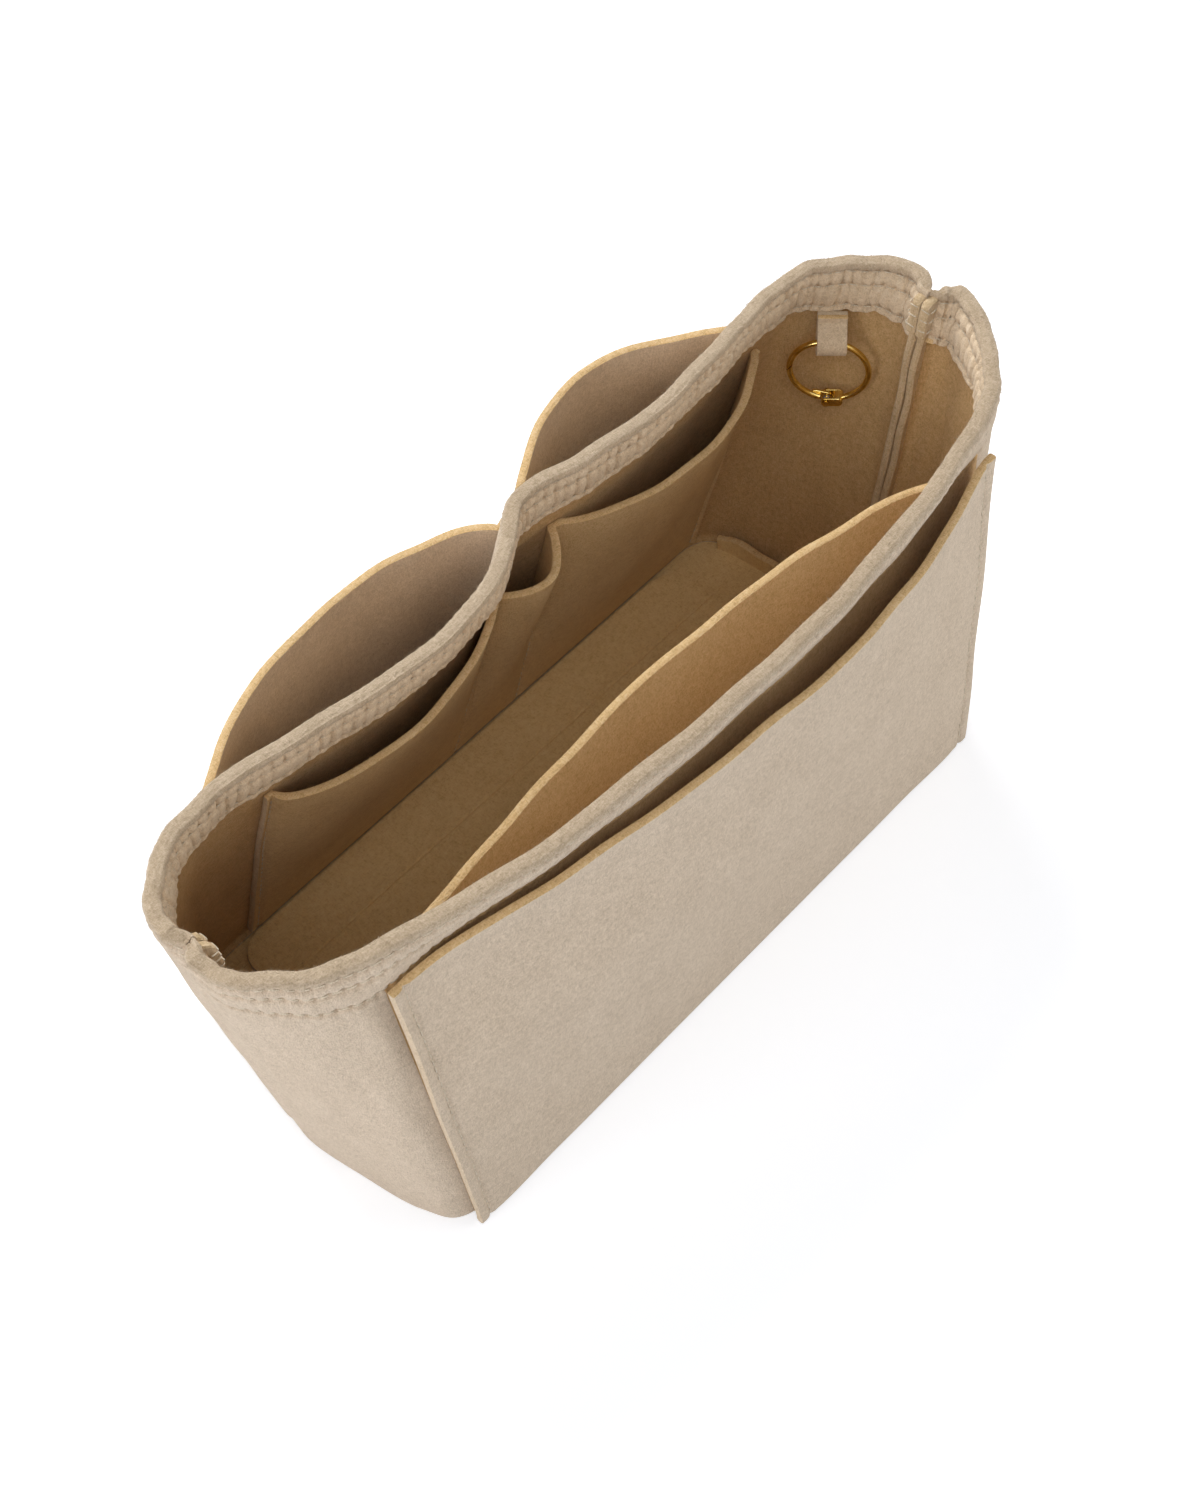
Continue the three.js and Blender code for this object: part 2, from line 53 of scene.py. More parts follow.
# Overall sizes
INSERT_HEIGHT = 176.0
BASE_LENGTH = 320.0
BASE_DEPTH = 153.0
RIM_LENGTH = 380.0
RIM_DEPTH = 150.0
FELT = 3.0
SEAM_GAP = 0.3
HEM_DEPTH = 23.0
HEM_THICKNESS = 6.6
HEM_FOOT = INSERT_HEIGHT - HEM_DEPTH
RIM_RADIUS = 2.8
RIM_FOOT = INSERT_HEIGHT - RIM_RADIUS
BOTTOM_ROUND = 5.0
END_BULGE = 1.0

# Stitches: their step, length and thickness, and how far each row of the hem is below the rim
PITCH = 4.6
STITCH_LENGTH = 3.5
THREAD = 0.5
HEM_ROWS = [4.4, 10.6, 20.6]

# Each four numbers are one upright of a wall: its foot as shares of half the base, then its top
# as shares of half the rim. A place along a wall is counted in these uprights.
FRONT_SHARES = np.array([
    [-1.0, 0.0, -0.974, -0.09], [-1.006, -0.15, -0.993, -0.21], [-0.99, -0.4, -0.963, -0.4],
    [-0.955, -0.76, -0.878, -0.6], [-0.88, -0.95, -0.795, -0.705], [-0.62, -0.965, -0.555, -0.845],
    [-0.31, -0.965, -0.28, -0.95], [0.0, -0.965, 0.025, -0.99], [0.31, -0.965, 0.3, -0.975],
    [0.62, -0.965, 0.545, -0.92], [0.88, -0.95, 0.788, -0.79], [0.955, -0.74, 0.908, -0.6],
    [0.99, -0.42, 0.995, -0.35], [1.006, -0.24, 1.01, -0.17], [1.0, -0.1, 0.976, -0.09],
])
BACK_SHARES = np.array([
    [-1.0, 0.0, -0.974, -0.09], [-0.99, 0.15, -0.984, 0.03], [-0.957, 0.5, -0.958, 0.2],
    [-0.928, 0.82, -0.874, 0.36], [-0.87, 0.975, -0.745, 0.41], [-0.66, 1.0, -0.575, 0.36],
    [-0.34, 1.0, -0.32, 0.25], [-0.07, 1.0, -0.105, 0.29], [0.09, 1.0, 0.058, 0.58],
    [0.25, 1.0, 0.21, 0.48], [0.5, 1.0, 0.41, 0.44], [0.74, 1.0, 0.615, 0.5],
    [0.9, 0.985, 0.763, 0.525], [0.975, 0.84, 0.868, 0.49], [1.0, 0.5, 0.956, 0.32],
    [1.006, 0.08, 1.004, 0.07], [1.0, -0.1, 0.976, -0.09],
])
# A curve's direction is taken between two places, this far to both sides
PROBE = 0.1

# Pockets: the places where they are sewn down, how far in from their sides the stitches stand,
# their feet and tops, and how far they bow
FRONT_SEAMS = (4.0, 10.0)
BACK_SEAMS = (4.0, 8.0, 12.0)
INNER_BACK_SEAMS = (4.75, 7.25, 8.75, 12.0)
OUTER_MARGIN = 4.6
INNER_MARGIN = 3.2
POCKET_FOOT = 1.0
FRONT_POCKET_TOP = 157.0
BACK_POCKET_TOP = 154.0
INNER_FOOT = 7.0
INNER_TOP = 140.0
FRONT_BOW = 6.0
BACK_LEFT_BOW = 40.0
BACK_RIGHT_BOW = 34.0
INNER_FRONT_BOW = 41.5
INNER_BACK_BOWS = ((11.0, 0.6), (18.0, 1.0), (15.0, 1.0))
SEWN_SHARE = 0.1
LAP = 5.0
LAP_LIFT = 1.4


# Materials

def new_material(name, roughness, metallic=0.0):
    material = bpy.data.materials.new(name)
    material.use_nodes = True
    shader = material.node_tree.nodes["Principled BSDF"]
    fill(material.node_tree, shader, {"Roughness": roughness, "Metallic": metallic})
    return material, material.node_tree, shader


def fill(tree, node, values):
    """Set a node's inputs, by name or number, to values or to other nodes' outputs."""
    for socket, value in values.items():
        if isinstance(value, bpy.types.NodeSocket):
            tree.links.new(value, node.inputs[socket])
        else:
            node.inputs[socket].default_value = value


def new_node(tree, kind, values, operation=None):
    """The first output of a new node."""
    node = tree.nodes.new(kind)
    if operation:
        node.operation = operation
    fill(tree, node, values)
    return node.outputs[0]


def noise(tree, scale, detail, stretch=(1, 1, 1), turn=(0, 0, 0), distortion=0.0):
    """Noise fixed to the object. A low stretch along an axis draws it out into fibres there."""
    place = tree.nodes.new("ShaderNodeTexCoord").outputs["Object"]
    values = {"Scale": stretch, "Rotation": turn, "Vector": place}
    place = new_node(tree, "ShaderNodeMapping", values)
    values = {"Scale": scale, "Detail": detail, "Distortion": distortion, "Vector": place}
    return new_node(tree, "ShaderNodeTexNoise", values)


def ramp(tree, value, stops):
    """Colours by value, from stops of a position and a colour."""
    node = tree.nodes.new("ShaderNodeValToRGB")
    elements = node.color_ramp.elements
    while len(elements) < len(stops):
        elements.new(0.5)
    for element, (position, colour) in zip(elements, stops):
        element.position = position
        element.color = (*colour, 1.0)
    tree.links.new(value, node.inputs["Fac"])
    return node.outputs["Color"]


def add_values(tree, first, second, share):
    """The first value plus a share of the second one."""
    return new_node(tree, "ShaderNodeMath", {0: second, 1: share, 2: first}, "MULTIPLY_ADD")


def bump(tree, height, strength, distance):
    values = {"Strength": strength, "Distance": distance, "Height": height}
    return new_node(tree, "ShaderNodeBump", values)


def felt_material(name, dark, middle, light, sheen, grain):
    """Pressed wool: short fibres in all directions, soft mottling and a faint sheen."""
    material, tree, shader = new_material(name, 0.95)
    first, second, third = (
        noise(tree, 1500, 2.0, stretch, turn, 0.5)
        for stretch, turn in (
            ((0.4, 1.5, 1.5), (0.3, 0.2, 0.9)),
            ((1.5, 0.4, 1.5), (0.9, 0.1, 0.2)),
            ((1.5, 1.5, 0.4), (0.2, 0.7, 0.4)),
        )
    )
    height = add_values(tree, add_values(tree, first, second, 1.0), third, 1.0)
    mottle = noise(tree, 420, 3.0)
    clouds = noise(tree, 60, 2.0)
    total = add_values(tree, add_values(tree, height, mottle, 0.6), clouds, 0.3)
    # The five noises have a mean of 0.5 and weigh 3.9 in all, so their mean sum becomes 0.5 again
    mean = new_node(tree, "ShaderNodeMath", {0: total, 1: 0.5 / 1.95}, "MULTIPLY")
    fill(tree, shader, {
        "Base Color": ramp(tree, mean, [(0.4, dark), (0.5, middle), (0.6, light)]),
        "Normal": bump(tree, height, grain, 0.0005),
        "Sheen Weight": sheen,
        "Sheen Roughness": 0.55,
        "Sheen Tint": (0.9, 0.82, 0.7, 1.0),
        "Specular IOR Level": 0.15,
    })
    return material


# Each felt: its dark, middle and light colour, its sheen and the depth of its grain
FELTS = {
    "face": ((0.48, 0.37, 0.26), (0.62, 0.49, 0.358), (0.75, 0.615, 0.47), 0.45, 0.7),
    # Painted shade: the rim is the face's felt made darker and warmer, to dim the light on its top
    "rim": ((0.41, 0.31, 0.2), (0.53, 0.407, 0.277), (0.645, 0.52, 0.38), 0.45, 0.7),
    # Painted light: the hem's inner face is the face's felt made lighter and warmer
    "hem": ((0.58, 0.44, 0.29), (0.74, 0.58, 0.4), (0.85, 0.7, 0.52), 0.4, 0.7),
    # Painted shade: the inner pockets' felt is warmer and more saturated, with little sheen, for
    # light bounced inside
    "inside": ((0.56, 0.385, 0.19), (0.7, 0.5, 0.265), (0.8, 0.6, 0.35), 0.1, 0.6),
    # Painted shade: darker and warmer still, for the walls' inner faces, under the pockets and in
    # their mouths
    "painted_shade": ((0.47, 0.3, 0.13), (0.61, 0.395, 0.183), (0.71, 0.49, 0.26), 0.1, 0.6),
    # Painted light: the base's felt is lighter and warmer, for light that hardly reaches the
    # cavity's floor
    "base": ((0.7, 0.485, 0.225), (0.85, 0.61, 0.3), (0.92, 0.7, 0.39), 0.1, 0.6),
    "edge": ((0.62, 0.41, 0.185), (0.81, 0.56, 0.275), (0.9, 0.68, 0.4), 0.2, 0.8),
    "side": ((0.56, 0.42, 0.26), (0.7, 0.55, 0.38), (0.78, 0.64, 0.47), 0.3, 0.8),
    "seam": ((0.48, 0.345, 0.19), (0.62, 0.46, 0.275), (0.72, 0.555, 0.365), 0.15, 0.7),
}
(
    FELT_FACE, FELT_RIM_PAINTED_SHADE, FELT_HEM_PAINTED_LIGHT, FELT_INSIDE_PAINTED_SHADE, FELT_PAINTED_SHADE,
    FELT_BASE_PAINTED_LIGHT, FELT_EDGE, FELT_SIDE, FELT_SEAM,
) = (felt_material(f"felt_{name}", *look) for name, look in FELTS.items())


def thread_material():
    material, tree, shader = new_material("thread", 0.7)
    strands = noise(tree, 2600, 2.0, (1, 1, 0.3))
    fill(tree, shader, {
        "Base Color": ramp(tree, strands, [(0.35, (0.5, 0.41, 0.29)), (0.6, (0.73, 0.64, 0.5))]),
        "Normal": bump(tree, strands, 0.4, 0.0002),
        "Sheen Weight": 0.2,
    })
    return material


def metal_material(name, dark, light, roughness, scratch):
    """Polished metal with faint cloudy wear and fine rubbing marks."""
    material, tree, shader = new_material(name, roughness, 1.0)
    clouds = noise(tree, 260, 4.0)
    marks = noise(tree, 1500, 4.0, (0.3, 3.0, 1.0), (0.4, 0.2, 0.9))
    rough = {"To Min": roughness * 0.7, "To Max": roughness * 1.5, "Value": marks}
    fill(tree, shader, {
        "Base Color": ramp(tree, clouds, [(0.35, dark), (0.65, light)]),
        "Roughness": new_node(tree, "ShaderNodeMapRange", rough),
        "Normal": bump(tree, marks, scratch, 0.00005),
    })
    return material


THREAD_MATERIAL = thread_material()
GOLD = metal_material("gold_plate", (0.72, 0.5, 0.13), (0.9, 0.7, 0.28), 0.17, 0.2)
STEEL = metal_material("spring_steel", (0.42, 0.42, 0.41), (0.6, 0.6, 0.58), 0.33, 0.3)


# Walls in plan

class Side:
    """One wall's foot and top curves. The inward sign turns left-to-right travel to the cavity."""

    def __init__(self, shares, inward):
        self.inward = inward
        self.uprights = len(shares) - 1
        self.foot = shares[:, :2] * [BASE_LENGTH / 2, BASE_DEPTH / 2]
        self.top = shares[:, 2:] * [RIM_LENGTH / 2, RIM_DEPTH / 2]


FRONT = Side(FRONT_SHARES, 1)
BACK = Side(BACK_SHARES, -1)


def spline(points, place):
    """A Catmull-Rom curve through the points."""
    last = len(points) - 1
    place = np.clip(place, 0, last)
    low = np.minimum(place.astype(int), last - 1)
    t = (place - low)[..., None]
    p0 = points[np.maximum(low - 1, 0)]
    p1 = points[low]
    p2 = points[low + 1]
    p3 = points[np.minimum(low + 2, last)]
    v0 = (p2 - p0) / 2
    v1 = (p3 - p1) / 2
    cubic = 2 * p1 - 2 * p2 + v0 + v1
    square = -3 * p1 + 3 * p2 - 2 * v0 - v1
    return cubic * t**3 + square * t**2 + v0 * t + p1


def soft_spline(points, place):
    """The same curve with its bends eased, except at its ends."""
    last = len(points) - 1
    ease = 0.35 * np.clip(np.minimum(place, last - place) / 0.7, 0, 1)
    beside = spline(points, place - ease) + spline(points, place + ease)
    return 0.5 * spline(points, place) + 0.25 * beside


def square_to(curve, side, place):
    """The way square to a curve in plan, towards the cavity."""
    along = curve(np.minimum(place + PROBE, side.uprights)) - curve(np.maximum(place - PROBE, 0))
    along = along / np.linalg.norm(along, axis=-1, keepdims=True)
    return np.stack([-along[..., 1], along[..., 0]], axis=-1) * side.inward


def matched(place, z):
    return np.broadcast_arrays(np.asarray(place, float), np.asarray(z, float))


def plain_plan(side, place, z):
    """The wall's outer face in plan, without the felt's waver."""
    place, z = matched(place, z)
    rise = np.maximum(z - BOTTOM_ROUND, 0) / (INSERT_HEIGHT - BOTTOM_ROUND)

    def straight(at):
        foot = spline(side.foot, at)
        return foot + (soft_spline(side.top, at) - foot) * rise[..., None]

    share = place / side.uprights
    bulge = -END_BULGE * np.sin(np.pi * np.minimum(rise, 1.0)) * np.cos(np.pi * share) ** 2
    return straight(place) + square_to(straight, side, place) * bulge[..., None]


def end_plan(end_sign, z):
    """The seam in plan, where the walls meet at the left end (-1) or the right end (1)."""
    return plain_plan(FRONT, 0 if end_sign < 0 else FRONT.uprights, z)


def smooth(value):
    value = np.clip(value, 0, 1)
    return value * value * (3 - 2 * value)


def hump(off, width):
    """A soft bump: 1 in the middle, falling off to both sides."""
    return np.exp(-((off / width) ** 2))


def raised(plan, z):
    """Points from a plan and their heights."""
    return np.concatenate([plan, z[..., None]], -1)


def waver(side, place, z):
    """How far the felt strays from its plan, in long waves that end at the foot and the seams."""
    ends = smooth(np.minimum(place, side.uprights - place) / 0.8)
    foot = smooth((z - 14) / 40)
    phase = 1.7 * side.inward
    waves = 0.45 * np.sin(2.3 * place + 0.021 * z + phase)
    waves += 0.3 * np.sin(5.1 * place - 0.043 * z + 2.1 * phase)
    waves += 0.16 * np.sin(9.7 * place + 0.09 * z + 0.6)
    return waves * ends * foot


def under_rim(side, place, z):
    """How far the front wall draws back under its rim, where the front pocket gapes."""
    along = smooth((place - 3.6) / 1.3) * smooth((10.9 - place) / 1.6)
    up = smooth((z - 85) / 62) * (1 - smooth((z - 150) / 24))
    size = 6.0 + 1.8 * hump(place - 5.1, 0.9)
    return size * along * up * (side.inward > 0)


def plain_square(side, place, z):
    return square_to(lambda at: plain_plan(side, at, z), side, place)


def felt_plan(side, place, z, recess=1.0):
    """The wall's outer face in plan, drawn back by a share of the recess under the rim."""
    place, z = matched(place, z)
    off = waver(side, place, z) + recess * under_rim(side, place, z)
    return plain_plan(side, place, z) + plain_square(side, place, z) * off[..., None]


def felt_square(side, place, z):
    place, z = matched(place, z)
    return square_to(lambda at: felt_plan(side, at, z), side, place)


def even_places(side, start, end, step, z):
    """Places along a wall at even steps of length, and the length run at each."""
    fine = np.linspace(start, end, 4000)
    run = run_along(plain_plan(side, fine, z))
    count = max(int(round(run[-1] / step)), 2)
    even = np.linspace(0, run[-1], count + 1)
    return np.interp(even, run, fine), even


# Meshes

def place_object(name, data):
    thing = bpy.data.objects.new(name, data)
    bpy.context.scene.collection.objects.link(thing)
    return thing


def make_object(name, vertices, faces, kinds, materials, body, sharp=40):
    """A smooth mesh in metres that rides on a body, with sharp edges above an angle in degrees.
    The kinds are each face's material, or one for all."""
    mesh = bpy.data.meshes.new(name)
    faces = np.asarray(faces)
    mesh.vertices.add(len(vertices))
    mesh.vertices.foreach_set("co", (np.asarray(vertices, float) * METRE).ravel())
    mesh.loops.add(faces.size)
    mesh.loops.foreach_set("vertex_index", faces.ravel().astype(np.int32))
    mesh.polygons.add(len(faces))
    width = faces.shape[1]
    mesh.polygons.foreach_set("loop_start", np.arange(0, faces.size, width, dtype=np.int32))
    mesh.polygons.foreach_set("loop_total", np.full(len(faces), width, dtype=np.int32))
    for material in materials:
        mesh.materials.append(material)
    mesh.polygons.foreach_set("material_index", np.full(len(faces), kinds, dtype=np.int32))
    mesh.polygons.foreach_set("use_smooth", np.ones(len(faces), dtype=bool))
    mesh.update(calc_edges=True)
    mesh.validate()
    if sharp:
        mesh.set_sharp_from_angle(angle=math.radians(sharp))
    piece = place_object(name, mesh)
    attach(piece, body)
    return piece


def face_out(vertices, faces):
    """A closed mesh's four-sided faces, turned over if they face inward."""
    a, b, c, d = (vertices[faces[:, i]] for i in range(4))
    volume = sum(np.einsum("ij,ij->i", a, np.cross(p, q)).sum() for p, q in ((b, c), (c, d)))
    return faces if volume > 0 else faces[:, ::-1]


def unit(vectors):
    return vectors / np.maximum(np.linalg.norm(vectors, axis=-1, keepdims=True), 1e-9)


def tube_faces(count, sides):
    """Faces between rings of points, each with the same number of them."""
    ring = (np.arange(count - 1) * sides)[:, None]
    corner = np.arange(sides)[None, :]
    a = ring + corner
    b = ring + (corner + 1) % sides
    return np.stack([a, a + sides, b + sides, b], -1).reshape(-1, 4)


def sheet_mesh(near, far, bulge):
    """A closed sheet between two grids of points. The bulge rounds its cut edges. The kinds tell
    the far face (0), the top edge (1), the other edges (2) and the near face (3) apart."""
    columns, rows = near.shape[:2]
    grid = np.arange(columns * rows).reshape(columns, rows)
    a, b, c, d = (
        part.ravel() for part in (grid[:-1, :-1], grid[1:, :-1], grid[1:, 1:], grid[:-1, 1:])
    )
    faces = [np.stack([a, b, c, d], 1), np.stack([a, d, c, b], 1) + columns * rows]
    loop = np.concatenate([grid[:, 0], grid[-1, 1:], grid[-2::-1, -1], grid[0, -2:0:-1]])
    middle = (near + far) / 2
    out = np.zeros_like(middle)
    out[0] += unit(middle[0] - middle[1])
    out[-1] += unit(middle[-1] - middle[-2])
    out[:, 0] += unit(middle[:, 0] - middle[:, 1])
    out[:, -1] += unit(middle[:, -1] - middle[:, -2])
    out = unit(out).reshape(-1, 3)
    flat_near = near.reshape(-1, 3)
    flat_far = far.reshape(-1, 3)
    bands = [
        flat_near[loop] * (1 - s) + flat_far[loop] * s + out[loop] * bulge for s in (0.25, 0.75)
    ]
    start = 2 * columns * rows
    step = np.arange(len(loop))
    rings = [loop, start + step, start + len(loop) + step, loop + columns * rows]
    side_count = len(faces[0])
    for low, high in zip(rings[:-1], rings[1:]):
        faces.append(np.stack([low, high, np.roll(high, -1), np.roll(low, -1)], 1))
    faces = np.concatenate(faces)
    vertices = np.concatenate([flat_near, flat_far, *bands])
    top = np.zeros(len(loop), bool)
    top[columns + rows - 2:2 * columns + rows - 3] = True
    kinds = np.concatenate([np.repeat([3, 0], side_count), np.tile(np.where(top, 1, 2), 3)])
    return vertices, face_out(vertices, faces), kinds


def felt_sheet(
    name, node, near, far, felt, back=None, body="tub", bulge=0.35, edges=(FELT_EDGE, FELT_SIDE),
):
    """A sheet of felt that stands for a node. The back is its near face's felt, if it's another,
    and the edges are the felts of its top edge and its other edges."""
    vertices, faces, kinds = sheet_mesh(near, far, bulge)
    piece = make_object(name, vertices, faces, kinds, [felt, *edges, back or felt], body)
    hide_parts(node)
    return piece


# Stitches are short round-ended threads, each lying in its dimple

def stitch_pieces(name, ends):
    """One piece of stitches, each given by its two ends and its way out of the cloth."""
    starts, stops, outs = (np.array([end[k] for end in ends]) for k in range(3))
    outs = unit(outs)
    along = unit(stops - starts)
    side = unit(np.cross(along, outs))
    # Share of the length, radius and height, the last two in shares of the thread's own
    stations = [(0.0, 0.0, -0.35), (0.02, 0.62, -0.25), (0.12, 0.95, -0.05), (0.5, 1.05, 0.08)]
    stations += [(1 - t, r, h) for t, r, h in reversed(stations[:-1])]
    around = np.linspace(0, 2 * np.pi, 8, endpoint=False)
    rings = []
    for t, radius, height in stations:
        centre = starts + (stops - starts) * t + outs * height * THREAD
        size = max(radius, 0.02) * THREAD / 2
        ring = [centre + size * (np.cos(a) * side + np.sin(a) * outs) for a in around]
        rings.append(np.stack(ring, 1))
    block = np.stack(rings, 1)
    count, ring_count, sides = block.shape[:3]
    base = (np.arange(count) * ring_count * sides)[:, None, None]
    faces = (base + tube_faces(ring_count, sides)).reshape(-1, 4)
    vertices = block.reshape(-1, 3)
    piece = make_object(name, vertices, faces, 0, [THREAD_MATERIAL], "tub", sharp=0)
    return piece


def run_along(points):
    """The length run along a line at each of its points."""
    return np.concatenate([[0], np.cumsum(np.linalg.norm(np.diff(points, axis=0), axis=1))])


def stitch_run(points, outs):
    """The stitches along a line, at even steps of its length."""
    run = run_along(points)
    centres = np.arange(PITCH / 2, run[-1] - PITCH / 2, PITCH)

    def at(values, where):
        return np.stack([np.interp(where, run, values[:, k]) for k in range(3)], 1)

    first = at(points, centres - STITCH_LENGTH / 2)
    last = at(points, centres + STITCH_LENGTH / 2)
    return list(zip(first, last, at(outs, centres)))


# Loose fibres: the wool's fine hairs on folds and cut edges

def fuzz(name, roots, outs, felt, seed):
    """One piece of short bent hairs that lean at random from their way out."""
    chooser = np.random.default_rng(seed)
    count = len(roots)
    outs = unit(outs)
    lean = unit(outs * 0.7 + chooser.normal(size=(count, 3)) * 0.55)
    bend = unit(outs * 0.2 + chooser.normal(size=(count, 3)))
    length = 0.5 + 1.1 * chooser.random(count)[:, None] ** 2
    middle = roots + lean * length * 0.55
    tip = middle + unit(lean + bend * 0.8) * length * 0.45
    side = unit(np.cross(lean, bend))
    other = np.cross(lean, side)
    rings = []
    for centre, size in ((roots - lean * 0.15, 0.045), (middle, 0.036), (tip, 0.008)):
        rings += [centre + size * (np.cos(a) * side + np.sin(a) * other) for a in (0.0, 2.1, 4.2)]
    vertices = np.stack(rings, 1).reshape(-1, 3)
    base = (np.arange(count) * 9)[:, None]
    faces = (base[:, None, :] + tube_faces(3, 3)).reshape(-1, 4)
    piece = make_object(name, vertices, faces, 0, [felt], "tub", sharp=0)


def scattered(grid, outs, count, seed):
    """Random places between the columns of a grid of points, with the way out at each."""
    chooser = np.random.default_rng(seed)
    column = chooser.integers(0, grid.shape[0] - 1, count)
    row = chooser.integers(0, grid.shape[1], count)
    share = chooser.random(count)[:, None]
    places = grid[column, row] * (1 - share) + grid[column + 1, row] * share
    return places, outs[column, row]


def row_dent(along, across, depth=0.65, hole=0.6):
    """How deep a row of stitches presses the felt, by the run along it and the way across it."""
    phase = (along / PITCH) % 1
    to_hole = np.minimum(phase, 1 - phase) * PITCH
    groove = depth * hump(across, 0.95)
    dimple = hole * np.exp(-((to_hole / 0.85) ** 2) - (across / 1.25) ** 2)
    pucker = 0.14 * np.cos(2 * np.pi * along / PITCH) * hump(across, 2.6)
    return groove + dimple + pucker


# Walls: one closed section, from the foot's outer round over the folded rim to its inner round

def hem_face(z):
    """Depth of the hem's inner face, as the fold is thinner at the rim than at its cut edge."""
    rim = 2 * RIM_RADIUS
    return rim + (HEM_THICKNESS - rim) * smooth((RIM_FOOT - z) / 14)


def wall_rows():
    """Depth, height and way out (along the depth, then up) of each row of a wall's section."""
    rows = []
    for turn in np.linspace(0, np.pi / 2, 6):
        across, up = np.sin(turn), np.cos(turn)
        rows.append((BOTTOM_ROUND * (1 - across), BOTTOM_ROUND * (1 - up), -across, -up))
    outer_rows = np.linspace(BOTTOM_ROUND, HEM_FOOT - 6, 56)[1:]
    hem_rows = np.linspace(HEM_FOOT - 6, RIM_FOOT, 58)[1:]
    rows += [(0.0, z, -1.0, 0.0) for z in (*outer_rows, *hem_rows)]
    for turn in np.linspace(0, np.pi, 18)[1:-1]:
        across, up = np.cos(turn), np.sin(turn)
        rows.append((RIM_RADIUS - RIM_RADIUS * across, RIM_FOOT + RIM_RADIUS * up, -across, up))
    rows += [(hem_face(z), z, 1.0, 0.0) for z in np.linspace(RIM_FOOT, HEM_FOOT + 0.5, 50)]
    rows += [
        (HEM_THICKNESS - 0.3, HEM_FOOT + 0.1, 0.7, -0.7),
        (HEM_THICKNESS - 0.9, HEM_FOOT - 0.05, 0.0, -1.0),
        (FELT + 0.9, HEM_FOOT - 0.05, 0.0, -1.0),
        (FELT + 0.15, HEM_FOOT - 0.1, 0.3, -0.6),
    ]
    rows += [(FELT, z, 1.0, 0.0) for z in np.linspace(HEM_FOOT - 1, BOTTOM_ROUND, 56)]
    inner = BOTTOM_ROUND - FELT
    for turn in np.linspace(np.pi / 2, 0, 5)[1:]:
        across, up = np.sin(turn), np.cos(turn)
        rows.append((BOTTOM_ROUND - inner * across, BOTTOM_ROUND - inner * up, across, 1.0))
    return np.array(rows)


def rim_lift(side, place):
    """How far the rim rises and falls along a wall."""
    ends = smooth(np.minimum(place, side.uprights - place) / 0.7)
    return ends * (0.5 * np.sin(3.1 * place + side.inward) + 0.35 * np.sin(7.3 * place + 2.0))


def chance(number, seed):
    """A steady pseudo-random share for each whole number."""
    value = np.sin(number * 12.9898 + seed * 78.233) * 43758.5453
    return value - np.floor(value)


def hem_sag(side, run, z):
    """How far the hem's inner layer hangs or draws up towards its cut edge."""
    wave = 0.7 * np.sin(run * 0.19 + side.inward) + 0.5 * np.sin(run * 0.47 + 2)
    return (wave + 0.3 * np.sin(run * 1.1)) * (1 - smooth((z - HEM_FOOT) / 10))


def hem_point(side, place, run, depth, z, out_depth, out_z, dent):
    """A point of the wall with the rim's lift and a dent pressed against its way out."""
    lift = rim_lift(side, place) * smooth((z - 120) / 50)
    lift = lift + hem_sag(side, run, z) * (depth > FELT + 0.5) * (z > HEM_FOOT - 0.5)
    depth = depth - out_depth * dent
    height = z - out_z * dent + lift
    plan = felt_plan(side, place, height) + felt_square(side, place, height) * depth[..., None]
    return raised(plan, height)


def wall_dent(side, run, z, out_depth):
    """How deep the felt is pressed by the hem's stitch rows and puckers and by the end seams."""
    dent = np.zeros(np.broadcast(run, z).shape)
    strength = np.where(out_depth > 0, 1.35, 1.3)
    for row in HEM_ROWS:
        pressed = row_dent(run, z - (INSERT_HEIGHT - row)) * strength
        dent = dent + pressed * (np.abs(out_depth) > 0.9) * (z > HEM_FOOT - 6)
    in_hem = smooth((z - HEM_FOOT + 1) / 3) * (np.abs(out_depth) > 0.5)
    nearest = np.min(np.stack([np.abs(z - (INSERT_HEIGHT - row)) for row in HEM_ROWS]), axis=0)
    dent = dent - 0.5 * in_hem * (1 - hump(nearest, 2.4))
    # Between two rows a pucker runs from hole to hole: deep on the inner face, faint on the outer
    inner = (out_depth > 0.9) * (z > HEM_FOOT)
    outer = (out_depth < -0.9) * (z > HEM_FOOT - 2)
    hole = np.round(run / PITCH)
    off = run - hole * PITCH
    below = INSERT_HEIGHT - z
    for number, (top, foot) in enumerate(zip(HEM_ROWS, HEM_ROWS[1:] + [HEM_DEPTH + 2])):
        span = smooth((below - top + 1) / 1.5) * smooth((foot + 1 - below) / 1.5)
        size = chance(hole, number + 3 * side.inward)
        lean = (chance(hole, number + 7) - 0.5) * 0.25 * (below - (top + foot) / 2)
        dent = dent + inner * span * (0.25 + 0.75 * size) * 1.05 * hump(off + lean, 0.8)
        outer_size = 0.22 * (size > 0.45) * size
        dent = dent + outer * span * outer_size * hump(off + lean, 1.0)
    edge = np.minimum(run, run.max() - run)
    return dent + 1.5 * hump(edge, 2.4) * (out_depth < 0.5)


